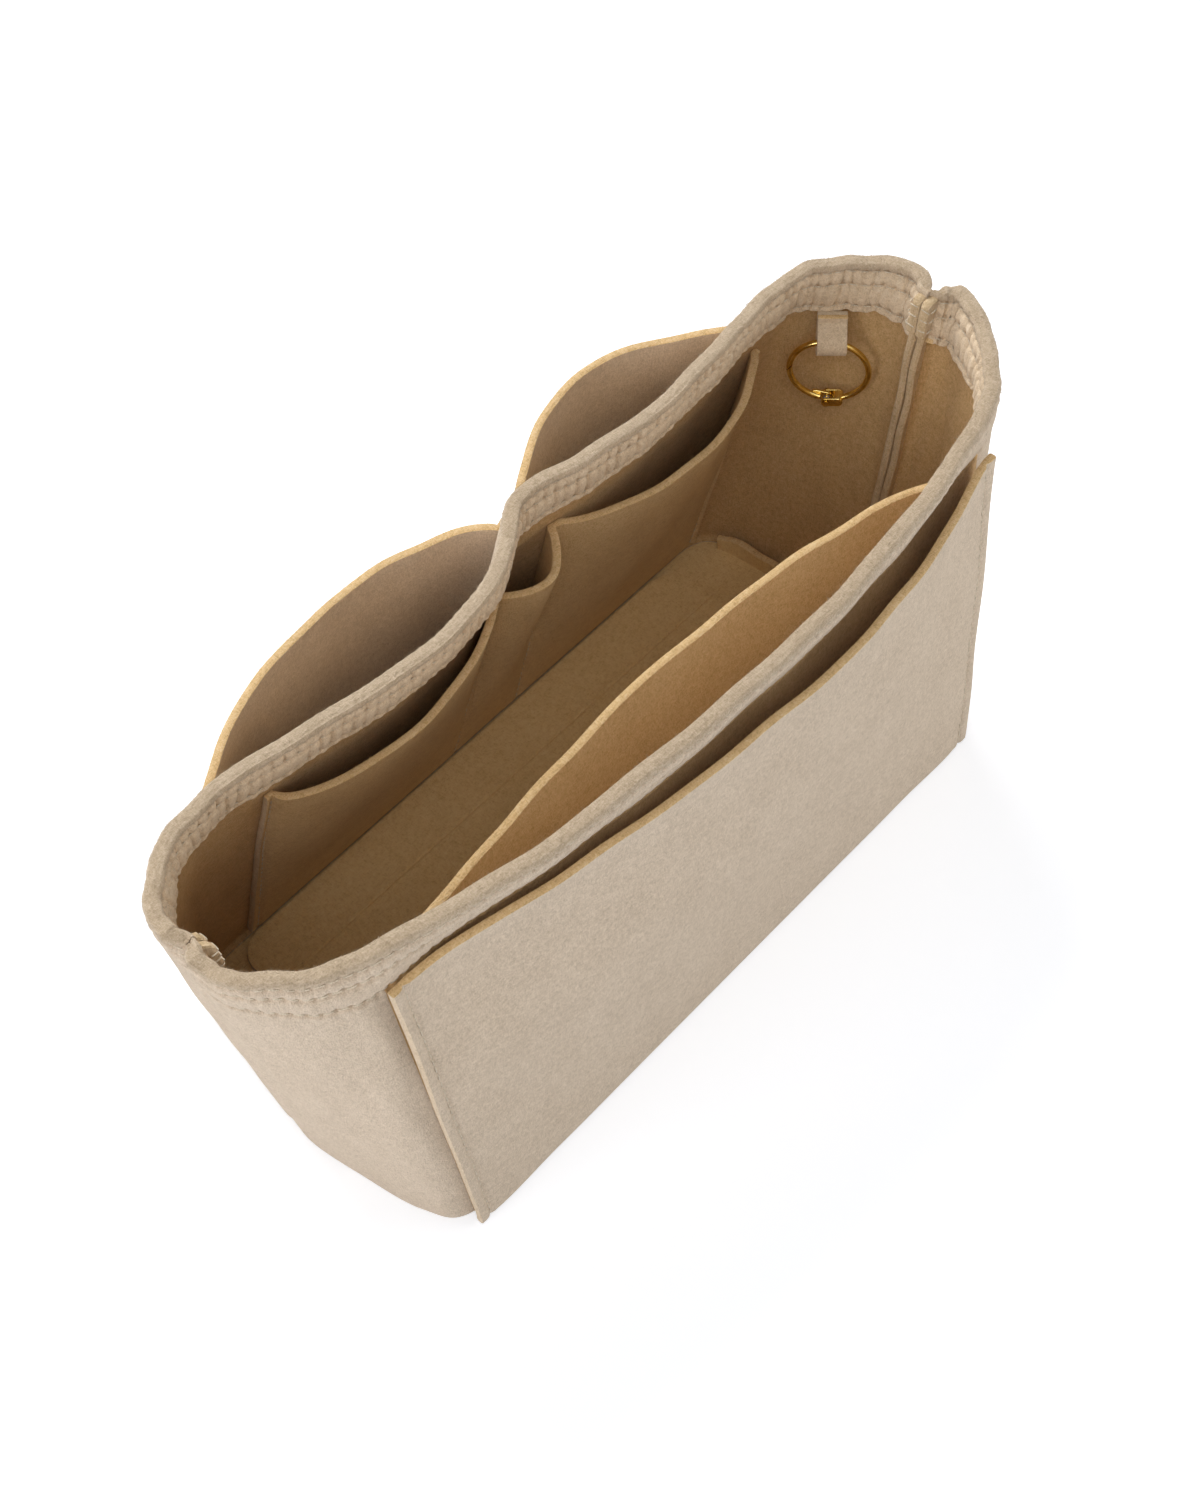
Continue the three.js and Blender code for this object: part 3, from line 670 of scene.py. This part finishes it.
def wall_piece(name, side, node):
    places, run = even_places(side, 0, side.uprights, PITCH / 7, HEM_FOOT + 12)
    rows = wall_rows()
    place, runs = (line[:, None] * np.ones(len(rows)) for line in (places, run))
    depth, z, out_depth, out_z = (np.tile(row, (len(places), 1)) for row in rows.T)
    dent = wall_dent(side, runs, z, out_depth)
    points = hem_point(side, place, runs, depth, z, out_depth, out_z, dent)
    # The end columns lie at the seam, and no column near them goes past it
    for column in (0, 1, 2, 3, -4, -3, -2, -1):
        seam = end_plan(1 if column < 0 else -1, points[column, :, 2])
        plane = seam[:, 1] - side.inward * SEAM_GAP / 2
        past = (points[column, :, 1] - plane) * side.inward > 0
        past |= column in (0, -1)
        points[column, past, 1] = plane[past]
    columns, count = points.shape[:2]
    grid = np.arange(columns * count).reshape(columns, count)
    following = np.roll(grid, -1, axis=1)
    faces = np.stack([grid[:-1], grid[1:], following[1:], following[:-1]], -1).reshape(-1, 4)
    caps = []
    half = count // 2
    for ring in (grid[0], grid[-1]):
        low = ring[:half]
        high = ring[::-1][:half]
        caps.append(np.stack([low[:-1], low[1:], high[1:], high[:-1]], -1))
    caps[0] = caps[0][:, ::-1]
    # The felts: the outer face; painted shade on the inside and where a pocket covers the outer
    # face; the cut edge; painted light on the hem's inner face; and painted shade on the rim
    felts = [FELT_FACE, FELT_PAINTED_SHADE, FELT_EDGE, FELT_HEM_PAINTED_LIGHT, FELT_RIM_PAINTED_SHADE]
    depths, heights, across, up = rows.T
    inside = (across > 0.2) & (heights < HEM_FOOT - 0.07)
    cut = (up < -0.5) & (depths > FELT)
    kinds = np.tile(np.where(inside, 1, np.where(cut, 2, 0)), (columns - 1, 1))
    seams = FRONT_SEAMS if side is FRONT else BACK_SEAMS
    between = (places[:-1] > seams[0]) & (places[:-1] < seams[-1])
    pocket_shade_rows = (across < -0.9) & (heights < HEM_FOOT + 3)
    kinds[np.ix_(between, pocket_shade_rows)] = 1
    kinds[:, (across > 0.9) & (heights > HEM_FOOT)] = 3
    kinds[:, heights > RIM_FOOT - 1] = 4
    kinds = np.concatenate([kinds.ravel(), np.zeros(sum(len(cap) for cap in caps), int)])
    vertices = points.reshape(-1, 3)
    faces = face_out(vertices, np.concatenate([faces, *caps]))
    piece = make_object(name, vertices, faces, kinds, felts, "tub", sharp=60)
    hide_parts(node)
    at_rim = heights > RIM_FOOT - 1.5
    square = felt_square(side, place, z)
    ways = raised(square * out_depth[..., None], out_z)
    roots, outs = scattered(points[:, at_rim], ways[:, at_rim], 9000, 11)
    # The rim's hairs take the rim felt, darkened as painted shade
    fuzz(name.replace("felt", "fuzz"), roots, outs, FELT_RIM_PAINTED_SHADE, 12)
    return piece


def hem_stitches(name, side, out_depth):
    """The hem's three rows on its outer face (-1) or inner face (1), sunk into their grooves."""
    places, run = even_places(side, 0, side.uprights, PITCH / 5, HEM_FOOT + 12)
    zero = np.zeros(len(places))
    sunk = 0.5 if out_depth < 0 else 0.8
    ends = []
    for row in HEM_ROWS:
        z = INSERT_HEIGHT - row + zero
        flat = hem_face(z) if out_depth > 0 else zero
        points = hem_point(side, places, run, flat, z, out_depth + zero, zero, sunk + zero)
        ends += stitch_run(points, raised(felt_square(side, places, z) * out_depth, zero))
    return stitch_pieces(name, ends)


front_wall = wall_piece("front_wall_felt", FRONT, "front_wall")
back_wall = wall_piece("back_wall_felt", BACK, "back_wall")
sewn_on = {
    name: [
        hem_stitches(f"{name}_hem_stitches_outer", side, -1.0),
        hem_stitches(f"{name}_hem_stitches_inner", side, 1.0),
    ]
    for name, side in (("front", FRONT), ("back", BACK))
}


# Pockets: sheets that stand off the walls, sewn along upright rows

def belly(place, z, start, end, foot, top, bow, fullness, skew):
    """How far a pocket stands off between two seams. The skew moves its fullest place."""
    across = np.clip((place - start - SEWN_SHARE) / (end - start - 2 * SEWN_SHARE), 0, 1)
    up = np.maximum((z - foot) / (top - foot), 0)
    return bow * np.abs(np.sin(np.pi * across**skew)) ** fullness * up


def pocket_piece(name, side, away, seams, margin, foot, top, near_face, flat, rise, *felts):
    """A panel outside (-1) or inside (1) a wall, with a row of stitches at each seam. The first
    and the last row stand in by a margin. The rise is the top edge's lift by place."""
    start, end = seams[0], seams[-1]
    places, run = even_places(side, start, end, 1.1, 0.5 * (foot + top))
    heights = np.concatenate([np.linspace(foot, top - 4, 62), np.linspace(top - 4, top, 6)[1:]])
    place = places[:, None] * np.ones(len(heights))
    z = heights[None, :] * np.ones((len(places), 1))
    z = z + rise(place) * smooth((z - top + 60) / 60)
    near = near_face(place, z)
    square = square_to(lambda at: near_face(np.clip(at, start, end), z), side, place) * away
    shifts = [margin] + [0.0] * (len(seams) - 2) + [-margin]
    centres = [np.interp(at, places, run) + shift for at, shift in zip(seams, shifts)]
    dent = sum(row_dent(z, run[:, None] - centre, depth=0.7) for centre in centres)
    far = near + square * (FELT - dent)[..., None]
    near = raised(near, z)
    far = raised(far, z)
    piece = felt_sheet(f"{name}_felt", name, near, far, *felts)
    ends = []
    for centre in centres:
        column = int(np.argmin(np.abs(run - centre)))
        outs = raised(square[column], 0 * heights)
        ends += stitch_run(far[column] + outs * 0.15, outs)
    stitch_pieces(f"{name}_stitches", ends)
    shares = np.array([0.1, 0.4, 0.7, 0.95])[:, None]
    strip = near[:, None, -1] * (1 - shares) + far[:, None, -1] * shares
    roots, outs = scattered(strip, np.zeros_like(strip) + (0.0, 0.0, 1.0), 2600, 21)
    fuzz(f"{name}_fuzz", roots, outs, FELT_EDGE, 22)


def front_pocket_face(place, z):
    """The panel's near face. It laps onto the wall at its sewn sides and is drawn back less."""
    start, end = FRONT_SEAMS
    margin = LAP / BASE_LENGTH * FRONT.uprights
    edge = np.minimum(place - start, end - place)
    off = SEAM_GAP + LAP_LIFT * np.maximum(1 - edge / margin, 0)
    recess = 0.82 - 0.57 * smooth((place - 5.4) / 2.6)
    point = felt_plan(FRONT, place, z, recess) - felt_square(FRONT, place, z) * off[..., None]
    span = (POCKET_FOOT, FRONT_POCKET_TOP)
    point[..., 1] -= belly(place, z, start, end, *span, FRONT_BOW, 0.85, 1.5)
    return point


def back_pocket_face(place, z):
    start, middle, end = BACK_SEAMS
    span = (POCKET_FOOT, BACK_POCKET_TOP)
    left = belly(place, z, start, middle, *span, BACK_LEFT_BOW, 0.9, 1.2)
    right = belly(place, z, middle, end, *span, BACK_RIGHT_BOW, 1.5, 1.0)
    point = felt_plan(BACK, place, z) - felt_square(BACK, place, z) * SEAM_GAP
    point[..., 1] += left + right
    return point


def inside_wall(side, place, z):
    return felt_plan(side, place, z) + felt_square(side, place, z) * (FELT + SEAM_GAP)


def inner_front_face(place, z):
    off = belly(place, z, *FRONT_SEAMS, INNER_FOOT, INNER_TOP, INNER_FRONT_BOW, 0.7, 1.1)
    point = inside_wall(FRONT, place, z)
    point[..., 1] += off * (1 - under_rim(FRONT, place, z) / INNER_FRONT_BOW)
    return point


def inner_back_face(place, z):
    point = inside_wall(BACK, place, z)
    off = np.zeros_like(place)
    for start, end, (bow, skew) in zip(INNER_BACK_SEAMS, INNER_BACK_SEAMS[1:], INNER_BACK_BOWS):
        off += belly(place, z, start, end, INNER_FOOT, INNER_TOP, bow, 0.85, skew)
    point[..., 1] -= off
    return point


def small_waves(rate, size, phase):
    return lambda place: size * (np.sin(rate * place + phase) + 0.5 * np.sin(2.7 * rate * place))


# The front pocket's near face, towards the wall, takes the felt with painted shade
pocket_piece(
    "front_pocket", FRONT, -1, FRONT_SEAMS, OUTER_MARGIN, POCKET_FOOT, FRONT_POCKET_TOP,
    front_pocket_face, (0.156, 0.295), small_waves(2.1, 0.4, 0.4), FELT_FACE, FELT_PAINTED_SHADE,
)
pocket_piece(
    "back_pocket", BACK, -1, BACK_SEAMS, OUTER_MARGIN, POCKET_FOOT, BACK_POCKET_TOP,
    back_pocket_face, (0.153, 0.32), small_waves(2.5, 0.5, 1.4), FELT_FACE,
)
# The inner pockets take the inside felt, warmed and saturated as painted shade
pocket_piece(
    "inner_front_pocket", FRONT, 1, FRONT_SEAMS, INNER_MARGIN, INNER_FOOT, INNER_TOP,
    inner_front_face, (0.133, 0.3), small_waves(2.8, 0.45, 2.4), FELT_INSIDE_PAINTED_SHADE,
)
pocket_piece(
    "inner_back_pocket", BACK, 1, INNER_BACK_SEAMS, INNER_MARGIN, INNER_FOOT, INNER_TOP,
    inner_back_face, (0.133, 0.28), small_waves(3.3, 0.4, 0.9), FELT_INSIDE_PAINTED_SHADE,
)


# End seams: the walls' allowances turn inward and stand side by side, thicker at the hem

SEAM_PRESS = 0.02
SEAM_FOOT = 11.4
SEAM_HEM_FOOT = 158.5
SEAM_HEM_TOP = 173.0
SEAM_HEM_PLY = 3.9
SEAM_TIP = 5.6
SEAM_ROWS = (5.2, 9.8, 14.6)


def seam_ply(name, node, end_sign, side, ply, low, high, tip, bend, slope, felt):
    """One wall's allowance at an end seam: a plate from inside the wall to its cut edge. At that
    edge it bends away from the other allowance, and its top slopes down."""
    share = np.linspace(0, 1, 90)
    reach = np.linspace(FELT - 0.6, tip, 16)
    out = reach[:, None] * np.ones(len(share))
    top = high - slope * smooth((out - HEM_THICKNESS) / (tip - HEM_THICKNESS + 0.1))
    z = low + (top - low) * share[None, :]
    seam = end_plan(end_sign, z)
    away = smooth((out - FELT) / (tip - FELT))
    wave = (0.3 * np.sin(0.07 * z + ply) + 0.2 * np.sin(0.19 * z)) * away
    x = seam[..., 0] - end_sign * (out + 0.25 * np.sin(0.23 * z + side.inward) * away)
    near_y = seam[..., 1] - side.inward * (bend * away - SEAM_PRESS) + wave
    pinch = np.zeros_like(z)
    for row in HEM_ROWS:
        pinch = pinch + 0.5 * hump(z - INSERT_HEIGHT + row, 1.2) * (low > HEM_FOOT - 5)
    near = np.stack([x, near_y, z], -1)
    far = np.stack([x, near_y - side.inward * (ply - pinch), z], -1)
    return felt_sheet(name, node, near, far, felt, bulge=0.7, edges=(FELT_SEAM, FELT_SEAM))


def seam_stitches(name, end_sign, side, tip, bend):
    """Threads of the hem's rows where they cross the thick part of the seam."""
    ends = []
    for number, row in enumerate(SEAM_ROWS):
        z = INSERT_HEIGHT - row
        seam = end_plan(end_sign, z)
        x = seam[0] - end_sign * (tip + 0.55)
        out = np.array([-end_sign, 0.0, 0.0])
        first = np.array([x, seam[1] - side.inward * (bend + 0.5), z])
        last = np.array([x, seam[1] - side.inward * (bend + 4.2), z + 0.4 * (number - 1)])
        ends.append((first, last, out))
        corner = np.array([x + end_sign * 0.5, seam[1] - side.inward * (bend + 4.75), z])
        root = corner + np.array([end_sign * 2.8, 0, 0.3])
        ends.append((corner, root, np.array([0.0, -side.inward, 0.0])))
    return stitch_pieces(name, ends)


# Each end: its reach and top slope at the hem, and how far the front and back allowances lean
for end_name, end_sign, tip, slope, leans in (
    ("left", -1, 7.2, 3.0, (2.67, -2.18)),
    ("right", 1, 7.6, 1.6, (0.22, 0.22)),
):
    for side_name, side, lean in (("front", FRONT, leans[0]), ("back", BACK, leans[1])):
        prefix = f"{end_name}_seam_{side_name}"
        for kind, *shape in (
            ("ply", FELT, SEAM_FOOT, SEAM_HEM_FOOT + 0.2, SEAM_TIP, 0.35, 0.0, FELT_SEAM),
            ("hem", SEAM_HEM_PLY, SEAM_HEM_FOOT, SEAM_HEM_TOP, tip, lean, slope, FELT_SIDE),
        ):
            piece = seam_ply(f"{prefix}_{kind}", f"{side_name}_wall", end_sign, side, *shape)
            sewn_on[side_name].append(piece)
        threads = seam_stitches(f"{prefix}_stitches", end_sign, side, tip, lean)
        sewn_on[side_name].append(threads)


# Base: a flat panel, its allowances standing up along the ends, and a second layer on it

# The base panel, its allowances and its layer take the base felt, lightened as painted light
BASE_INSET = BOTTOM_ROUND + SEAM_GAP
BASE_ALLOWANCE = 8.0
LAYER_LINE = 45.0
LAYER_INSET = (34.0, 7.5)
LAYER_CORNER = 12.0


def base_panel():
    share = np.linspace(0.004, 0.996, 300)

    def line(side):
        place = share * side.uprights
        return plain_plan(side, place, 0) + plain_square(side, place, 0) * BASE_INSET

    t = np.linspace(0, 1, 80)[None, :, None]
    plan = line(FRONT)[:, None, :] * (1 - t) + line(BACK)[:, None, :] * t
    wave = 0.12 * np.sin(0.06 * plan[..., 0]) * np.cos(0.07 * plan[..., 1])
    near = raised(plan, 0 * wave)
    far = raised(plan, FELT + wave)
    piece = felt_sheet("base_panel_felt", "base_panel", near, far, FELT_BASE_PAINTED_LIGHT)


def end_ridge(name, end_sign):
    """The base panel's allowance, bent up along the inside of an end."""
    t = np.linspace(0, 1, 110)

    def part(side, from_end):
        """The line along three uprights of a wall, and the ways square to it."""
        place = (0 if end_sign < 0 else side.uprights) - end_sign * 3 * from_end
        return plain_plan(side, place, 0), plain_square(side, place, 0)

    first, first_square = part(FRONT, 1 - t)
    last, last_square = part(BACK, t)
    plan = np.concatenate([first, last[1:]])
    square = unit(np.concatenate([first_square, last_square[1:]]))
    heights = np.linspace(FELT - 0.3, FELT + BASE_ALLOWANCE, 14)
    run = np.arange(len(plan))[:, None]
    lean = smooth((heights - FELT) / 8)[None, :]
    wave = (0.5 * np.sin(run * 0.21) + 0.4 * np.sin(run * 0.083 + 1)) * lean
    top = 0.5 * np.sin(run * 0.13 + 2) * lean
    off = BASE_INSET + 0.3 + wave + 0.5 * lean
    near_plan = plan[:, None, :] + square[:, None, :] * off[..., None]
    far_plan = near_plan + square[:, None, :] * FELT
    z = heights[None, :] + top
    piece = felt_sheet(name, "base_panel", raised(near_plan, z), raised(far_plan, z), FELT_BASE_PAINTED_LIGHT)


def base_layer():
    """A plate with round corners and two sewn lines, with finer columns of points at each line."""
    half_length = BASE_LENGTH / 2 - LAYER_INSET[0]
    half_depth = BASE_DEPTH / 2 - LAYER_INSET[1]
    fine = LAYER_LINE + np.linspace(-2.4, 2.4, 17)
    plain = np.linspace(-1, 1, 90) * half_depth
    plain = plain[np.abs(np.abs(plain) - LAYER_LINE) > 2.6]
    v = np.sort(np.concatenate([plain, fine, -fine]))
    past = np.maximum(np.abs(v) - (half_depth - LAYER_CORNER), 0)
    half = half_length - (LAYER_CORNER - np.sqrt(np.maximum(LAYER_CORNER**2 - past**2, 0)))
    u = np.linspace(-1, 1, 230)
    x = u[:, None] * half[None, :]
    y = np.ones((len(u), 1)) * v[None, :]
    foot = FELT + SEAM_GAP
    wave = 0.25 * np.sin(0.05 * x + 1) * np.cos(0.06 * y)
    off = np.abs(y) - LAYER_LINE
    groove = 0.9 * hump(off, 0.5) - 0.35 * hump(off, 1.6)
    near = np.stack([x, y, np.full_like(x, foot)], -1)
    far = np.stack([x, y, foot + FELT + wave - groove], -1)
    piece = felt_sheet("base_layer_felt", "base_layer", near, far, FELT_BASE_PAINTED_LIGHT)


base_panel()
end_ridge("left_base_ridge", -1)
end_ridge("right_base_ridge", 1)
base_layer()


# Key ring: drawn wire with a slanted nose, and the smooth lugs of its hinge. The ring lies in its
# own first two axes. Lugs are given by their low and high side along the third.

RING_MIDDLE = np.array([165.111, 23.187, 126.426])
RING_AXES = np.array([[0.546156, -0.837684, 0.0], [0.0, 0.0, 1.0], [-0.837684, -0.546156, 0.0]])
RING_RADIUS = 15.2
WIRE_RADIUS = 1.2
BOSS_RADIUS = 2.05
BOSS_REACH = 4.4
NOSE_SLANT = 1.48
NOSE_GAP = 0.15
NOSE_ROUND = 0.12
CHEEK = (2.0, 2.85)
BOSS_HALF = 2.3
TONGUE = (-1.7, -0.5)


def ring_wire(start, stop, start_slant, stop_slant):
    """Rings of points along an arc of the wire, with four more at each end that round it off. A
    slant shears an end to match the other part's nose."""
    turn = np.linspace(0, 2 * np.pi, 28, endpoint=False)
    shares = np.concatenate([[0, 0, 0, 0], np.linspace(0, 1, 120), [1, 1, 1, 1]])
    sizes = np.concatenate([[0.01, 0.5, 0.9, 0.98], np.ones(120), [0.98, 0.9, 0.5, 0.01]])
    past = np.zeros(len(shares))
    past[:4] = (-NOSE_ROUND, -NOSE_ROUND, -0.1, -0.04)
    past[-4:] = (0.04, 0.1, NOSE_ROUND, NOSE_ROUND)
    reach = RING_RADIUS + WIRE_RADIUS * sizes[:, None] * np.cos(turn)
    side = WIRE_RADIUS * sizes[:, None] * np.sin(turn)
    slant = start_slant * (1 - shares) + stop_slant * shares
    near_end = np.exp(-np.minimum(shares, 1 - shares) * 40)
    angle = start + (stop - start) * shares
    shear = (slant * near_end)[:, None] * (reach - RING_RADIUS) / RING_RADIUS
    angle = angle[:, None] + past[:, None] / RING_RADIUS + shear
    return np.stack([reach * np.cos(angle), reach * np.sin(angle), side], -1)


def lug(first, last, low, high):
    """A plate between two round ends, from a low to a high side, with eased rims."""
    radius = BOSS_RADIUS
    line = np.array(last) - np.array(first)
    heading = math.atan2(line[1], line[0]) if np.hypot(*line) > 1e-6 else 0.0
    half = np.linspace(-np.pi / 2, np.pi / 2, 22)
    turn = np.concatenate([half, half + np.pi]) + heading
    centres = np.concatenate([np.tile(last, (22, 1)), np.tile(first, (22, 1))])
    out = np.stack([np.cos(turn), np.sin(turn)], -1)
    ease = min(0.35, (high - low) / 2.5)
    steps = [(0.01, 0), (0.5, 0), (1 - ease / radius, 0)]
    for a in np.linspace(0.2, np.pi / 2, 6):
        steps.append((1 - ease * (1 - math.sin(a)) / radius, ease * (1 - math.cos(a))))
    sections = [(size, low + rise) for size, rise in steps]
    sections += [(size, high - rise) for size, rise in reversed(steps)]
    rings = []
    for size, height in sections:
        flat = centres + out * radius * size
        rings.append(np.concatenate([flat, np.full((len(flat), 1), height)], 1))
    return np.array(rings)


def metal_piece(name, node, body, parts):
    """One piece of closed parts, each given as rings of points in the ring's own axes."""
    vertices = []
    faces = []
    start = 0
    for part in parts:
        flat = part.reshape(-1, 3)
        vertices.append(flat)
        faces.append(face_out(flat, tube_faces(*part.shape[:2])) + start)
        start += len(flat)
    vertices = RING_MIDDLE + np.concatenate(vertices) @ RING_AXES
    faces = np.concatenate(faces)
    piece = make_object(name, vertices, faces, 0, [GOLD], body, sharp=50)
    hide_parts(node)
    return piece


def key_ring():
    hinge = -np.pi / 2
    swing = BOSS_REACH / RING_RADIUS
    foot = (0.0, -RING_RADIUS)
    body_end = (RING_RADIUS * math.sin(swing), -RING_RADIUS * math.cos(swing))
    gate_end = (-body_end[0], body_end[1])
    gap = NOSE_GAP / RING_RADIUS
    nose = np.pi - gap * 2 - NOSE_ROUND / RING_RADIUS
    body = [
        ring_wire(hinge + swing * 0.9, nose, 0.0, NOSE_SLANT),
        lug(foot, body_end, CHEEK[0], CHEEK[1]),
        lug(foot, body_end, -CHEEK[1], -CHEEK[0]),
        lug(body_end, body_end, -BOSS_HALF, BOSS_HALF),
    ]
    gate = [
        ring_wire(-nose, hinge - swing * 0.6, NOSE_SLANT, 0.0),
        lug(gate_end, foot, *TONGUE),
    ]
    metal_piece("ring_body_metal", "ring_body", "ring", body)
    metal_piece("ring_gate_metal", "ring_gate", "gate", gate)


key_ring()
for node, material in (("gate_pin", GOLD), ("gate_spring", STEEL)):
    for slot in bpy.data.objects[node].material_slots:
        slot.material = material


# Key tab: a strip folded into a loop under the hem. Its path is drawn by the depth from the wall
# and the height from the sewn end.

TAB_ORIGIN = np.array([169.256084, 26.802696, 152.7])
TAB_ALONG = np.array([0.657424, -0.753521, 0.0])
TAB_INWARD = np.array([-0.753521, -0.657424, 0.0])
TAB_WIDTH = 11.0
TAB_DROP = 16.0
TAB_FELT = 2.0
TAB_SWELL = 3.5
TAB_NECK = 6.4


def key_tab():
    fold = TAB_SWELL + TAB_FELT
    foot = fold - TAB_DROP
    neck = foot + TAB_NECK
    radius = fold - 1.0
    path = [(1.0, z) for z in np.linspace(0, foot, 20)]
    for a in np.linspace(np.pi, 2 * np.pi, 22)[1:]:
        path.append((fold + radius * np.cos(a), foot + radius * np.sin(a)))
    front = 2 * fold - 1
    hull = [(front, foot), (front, neck - TAB_SWELL), (3.0, neck), (3.0, neck + TAB_FELT)]
    for t in np.linspace(0, 1, 18)[1:]:
        weights = [(1 - t) ** 3, 3 * t * (1 - t) ** 2, 3 * t * t * (1 - t), t**3]
        path.append(tuple(sum(w * q[k] for w, q in zip(weights, hull)) for k in range(2)))
    path += [(3.05, z) for z in np.linspace(neck + TAB_FELT, 0, 10)[1:]]
    path = np.array(path)
    direction = unit(np.gradient(path, axis=0))
    normal = np.stack([direction[:, 1], -direction[:, 0]], 1)
    widths = np.linspace(-TAB_WIDTH / 2, TAB_WIDTH / 2, 14)

    def lay(offset):
        line = path + normal * offset
        return (
            TAB_ORIGIN
            + widths[:, None, None] * TAB_ALONG
            + line[None, :, 0, None] * TAB_INWARD
            + line[None, :, 1, None] * np.array([0, 0, 1.0])
        )

    # The tab takes the hem's inner felt, lightened as painted light
    piece = felt_sheet(
        "key_tab_felt", "key_tab", lay(-0.98), lay(0.98), FELT_HEM_PAINTED_LIGHT, body="tab", bulge=0.2)


key_tab()


# Camera, floor and light, in metres and watts

CAMERA_PLACE = Vector((-0.3586, -0.3503, 0.8055))
CAMERA_RIGHT = Vector((0.6726, -0.7398, -0.0172))
CAMERA_BACK = Vector((-0.4075, -0.3898, 0.8258))
CAMERA_LENS = 57.6
FLOOR_HALF = 4.0
FLOOR_DROP = 0.0002
FLOOR_COLOUR = (0.77, 0.79, 0.83, 1.0)
# The floor's glow at a near and a far distance, so that it's as white as the world all over
FLOOR_GLOW = {"From Min": 0.6, "From Max": 1.8, "To Min": 0.47, "To Max": 1.0}
WORLD_LIGHT = 0.25
LAMP_AIM = Vector((0, 0, 0.09))
# Each lamp: its name, place, size, power and colour
LAMPS = (
    ("behind", (0.35, 1.2, 1.3), 1.2, 29, (1, 1, 1)),
    ("left", (-1.7, 0.15, 0.45), 1.0, 13, (0.98, 0.99, 1.03)),
    ("low_left", (-1.6, -0.9, 0.3), 0.8, 3, (0.9, 0.96, 1.15)),
    ("right", (1.3, -1.3, 0.45), 1.0, 14.5, (1, 1, 1)),
    ("above_camera", (-0.9, -0.9, 1.7), 1.2, 9, (1, 1, 1)),
)


def camera():
    data = bpy.data.cameras.new("camera")
    data.lens = CAMERA_LENS
    data.sensor_width = 36
    data.sensor_fit = "AUTO"
    data.clip_end = 20
    thing = place_object("camera", data)
    right = CAMERA_RIGHT.normalized()
    back = CAMERA_BACK.normalized()
    up = back.cross(right).normalized()
    right = up.cross(back)
    turn = Matrix((right, up, back)).transposed().to_4x4()
    thing.matrix_world = Matrix.Translation(CAMERA_PLACE) @ turn
    bpy.context.scene.camera = thing


def sees_background(tree):
    """1 for camera, glossy and transmission rays, so that metal shows the camera's backdrop."""
    path = tree.nodes.new("ShaderNodeLightPath")
    share = path.outputs["Is Camera Ray"]
    for ray in ("Is Glossy Ray", "Is Transmission Ray"):
        share = new_node(tree, "ShaderNodeMath", {0: share, 1: path.outputs[ray]}, "MAXIMUM")
    return share


def floor():
    material, tree, shader = new_material("floor", 0.9)
    place = tree.nodes.new("ShaderNodeTexCoord").outputs["Object"]
    distance = tree.nodes.new("ShaderNodeVectorMath")
    distance.operation = "LENGTH"
    tree.links.new(place, distance.inputs[0])
    values = {**FLOOR_GLOW, "Value": distance.outputs["Value"]}
    white = new_node(tree, "ShaderNodeMapRange", values)
    values = {0: sees_background(tree), 1: white}
    fill(tree, shader, {
        "Base Color": FLOOR_COLOUR,
        "Emission Color": (1.0, 1.0, 1.0, 1.0),
        "Emission Strength": new_node(tree, "ShaderNodeMath", values, "MULTIPLY"),
        "Specular IOR Level": 0.0,
    })
    mesh = bpy.data.meshes.new("floor")
    corners = ((-1, -1), (1, -1), (1, 1), (-1, 1))
    places = [(x * FLOOR_HALF, y * FLOOR_HALF, 0) for x, y in corners]
    mesh.from_pydata(places, [], [(0, 1, 2, 3)])
    mesh.materials.append(material)
    thing = place_object("floor", mesh)
    thing.location.z = -FLOOR_DROP


def lamp(name, place, size, power, colour):
    data = bpy.data.lights.new(name, "AREA")
    data.shape = "DISK"
    data.size = size
    data.energy = power
    data.color = colour
    thing = place_object(name, data)
    thing.location = place
    thing.rotation_euler = (LAMP_AIM - Vector(place)).to_track_quat("-Z", "Y").to_euler()


def world():
    """White to the camera and in reflections, and a weaker even light on the object."""
    sky = bpy.data.worlds.new("world")
    bpy.context.scene.world = sky
    sky.use_nodes = True
    tree = sky.node_tree
    values = {"To Min": WORLD_LIGHT, "To Max": 1.0, "Value": sees_background(tree)}
    strength = new_node(tree, "ShaderNodeMapRange", values)
    fill(tree, tree.nodes["Background"], {"Color": (1, 1, 1, 1), "Strength": strength})


camera()
floor()
world()
for look in LAMPS:
    lamp(*look)
bpy.context.scene.view_settings.view_transform = "Standard"
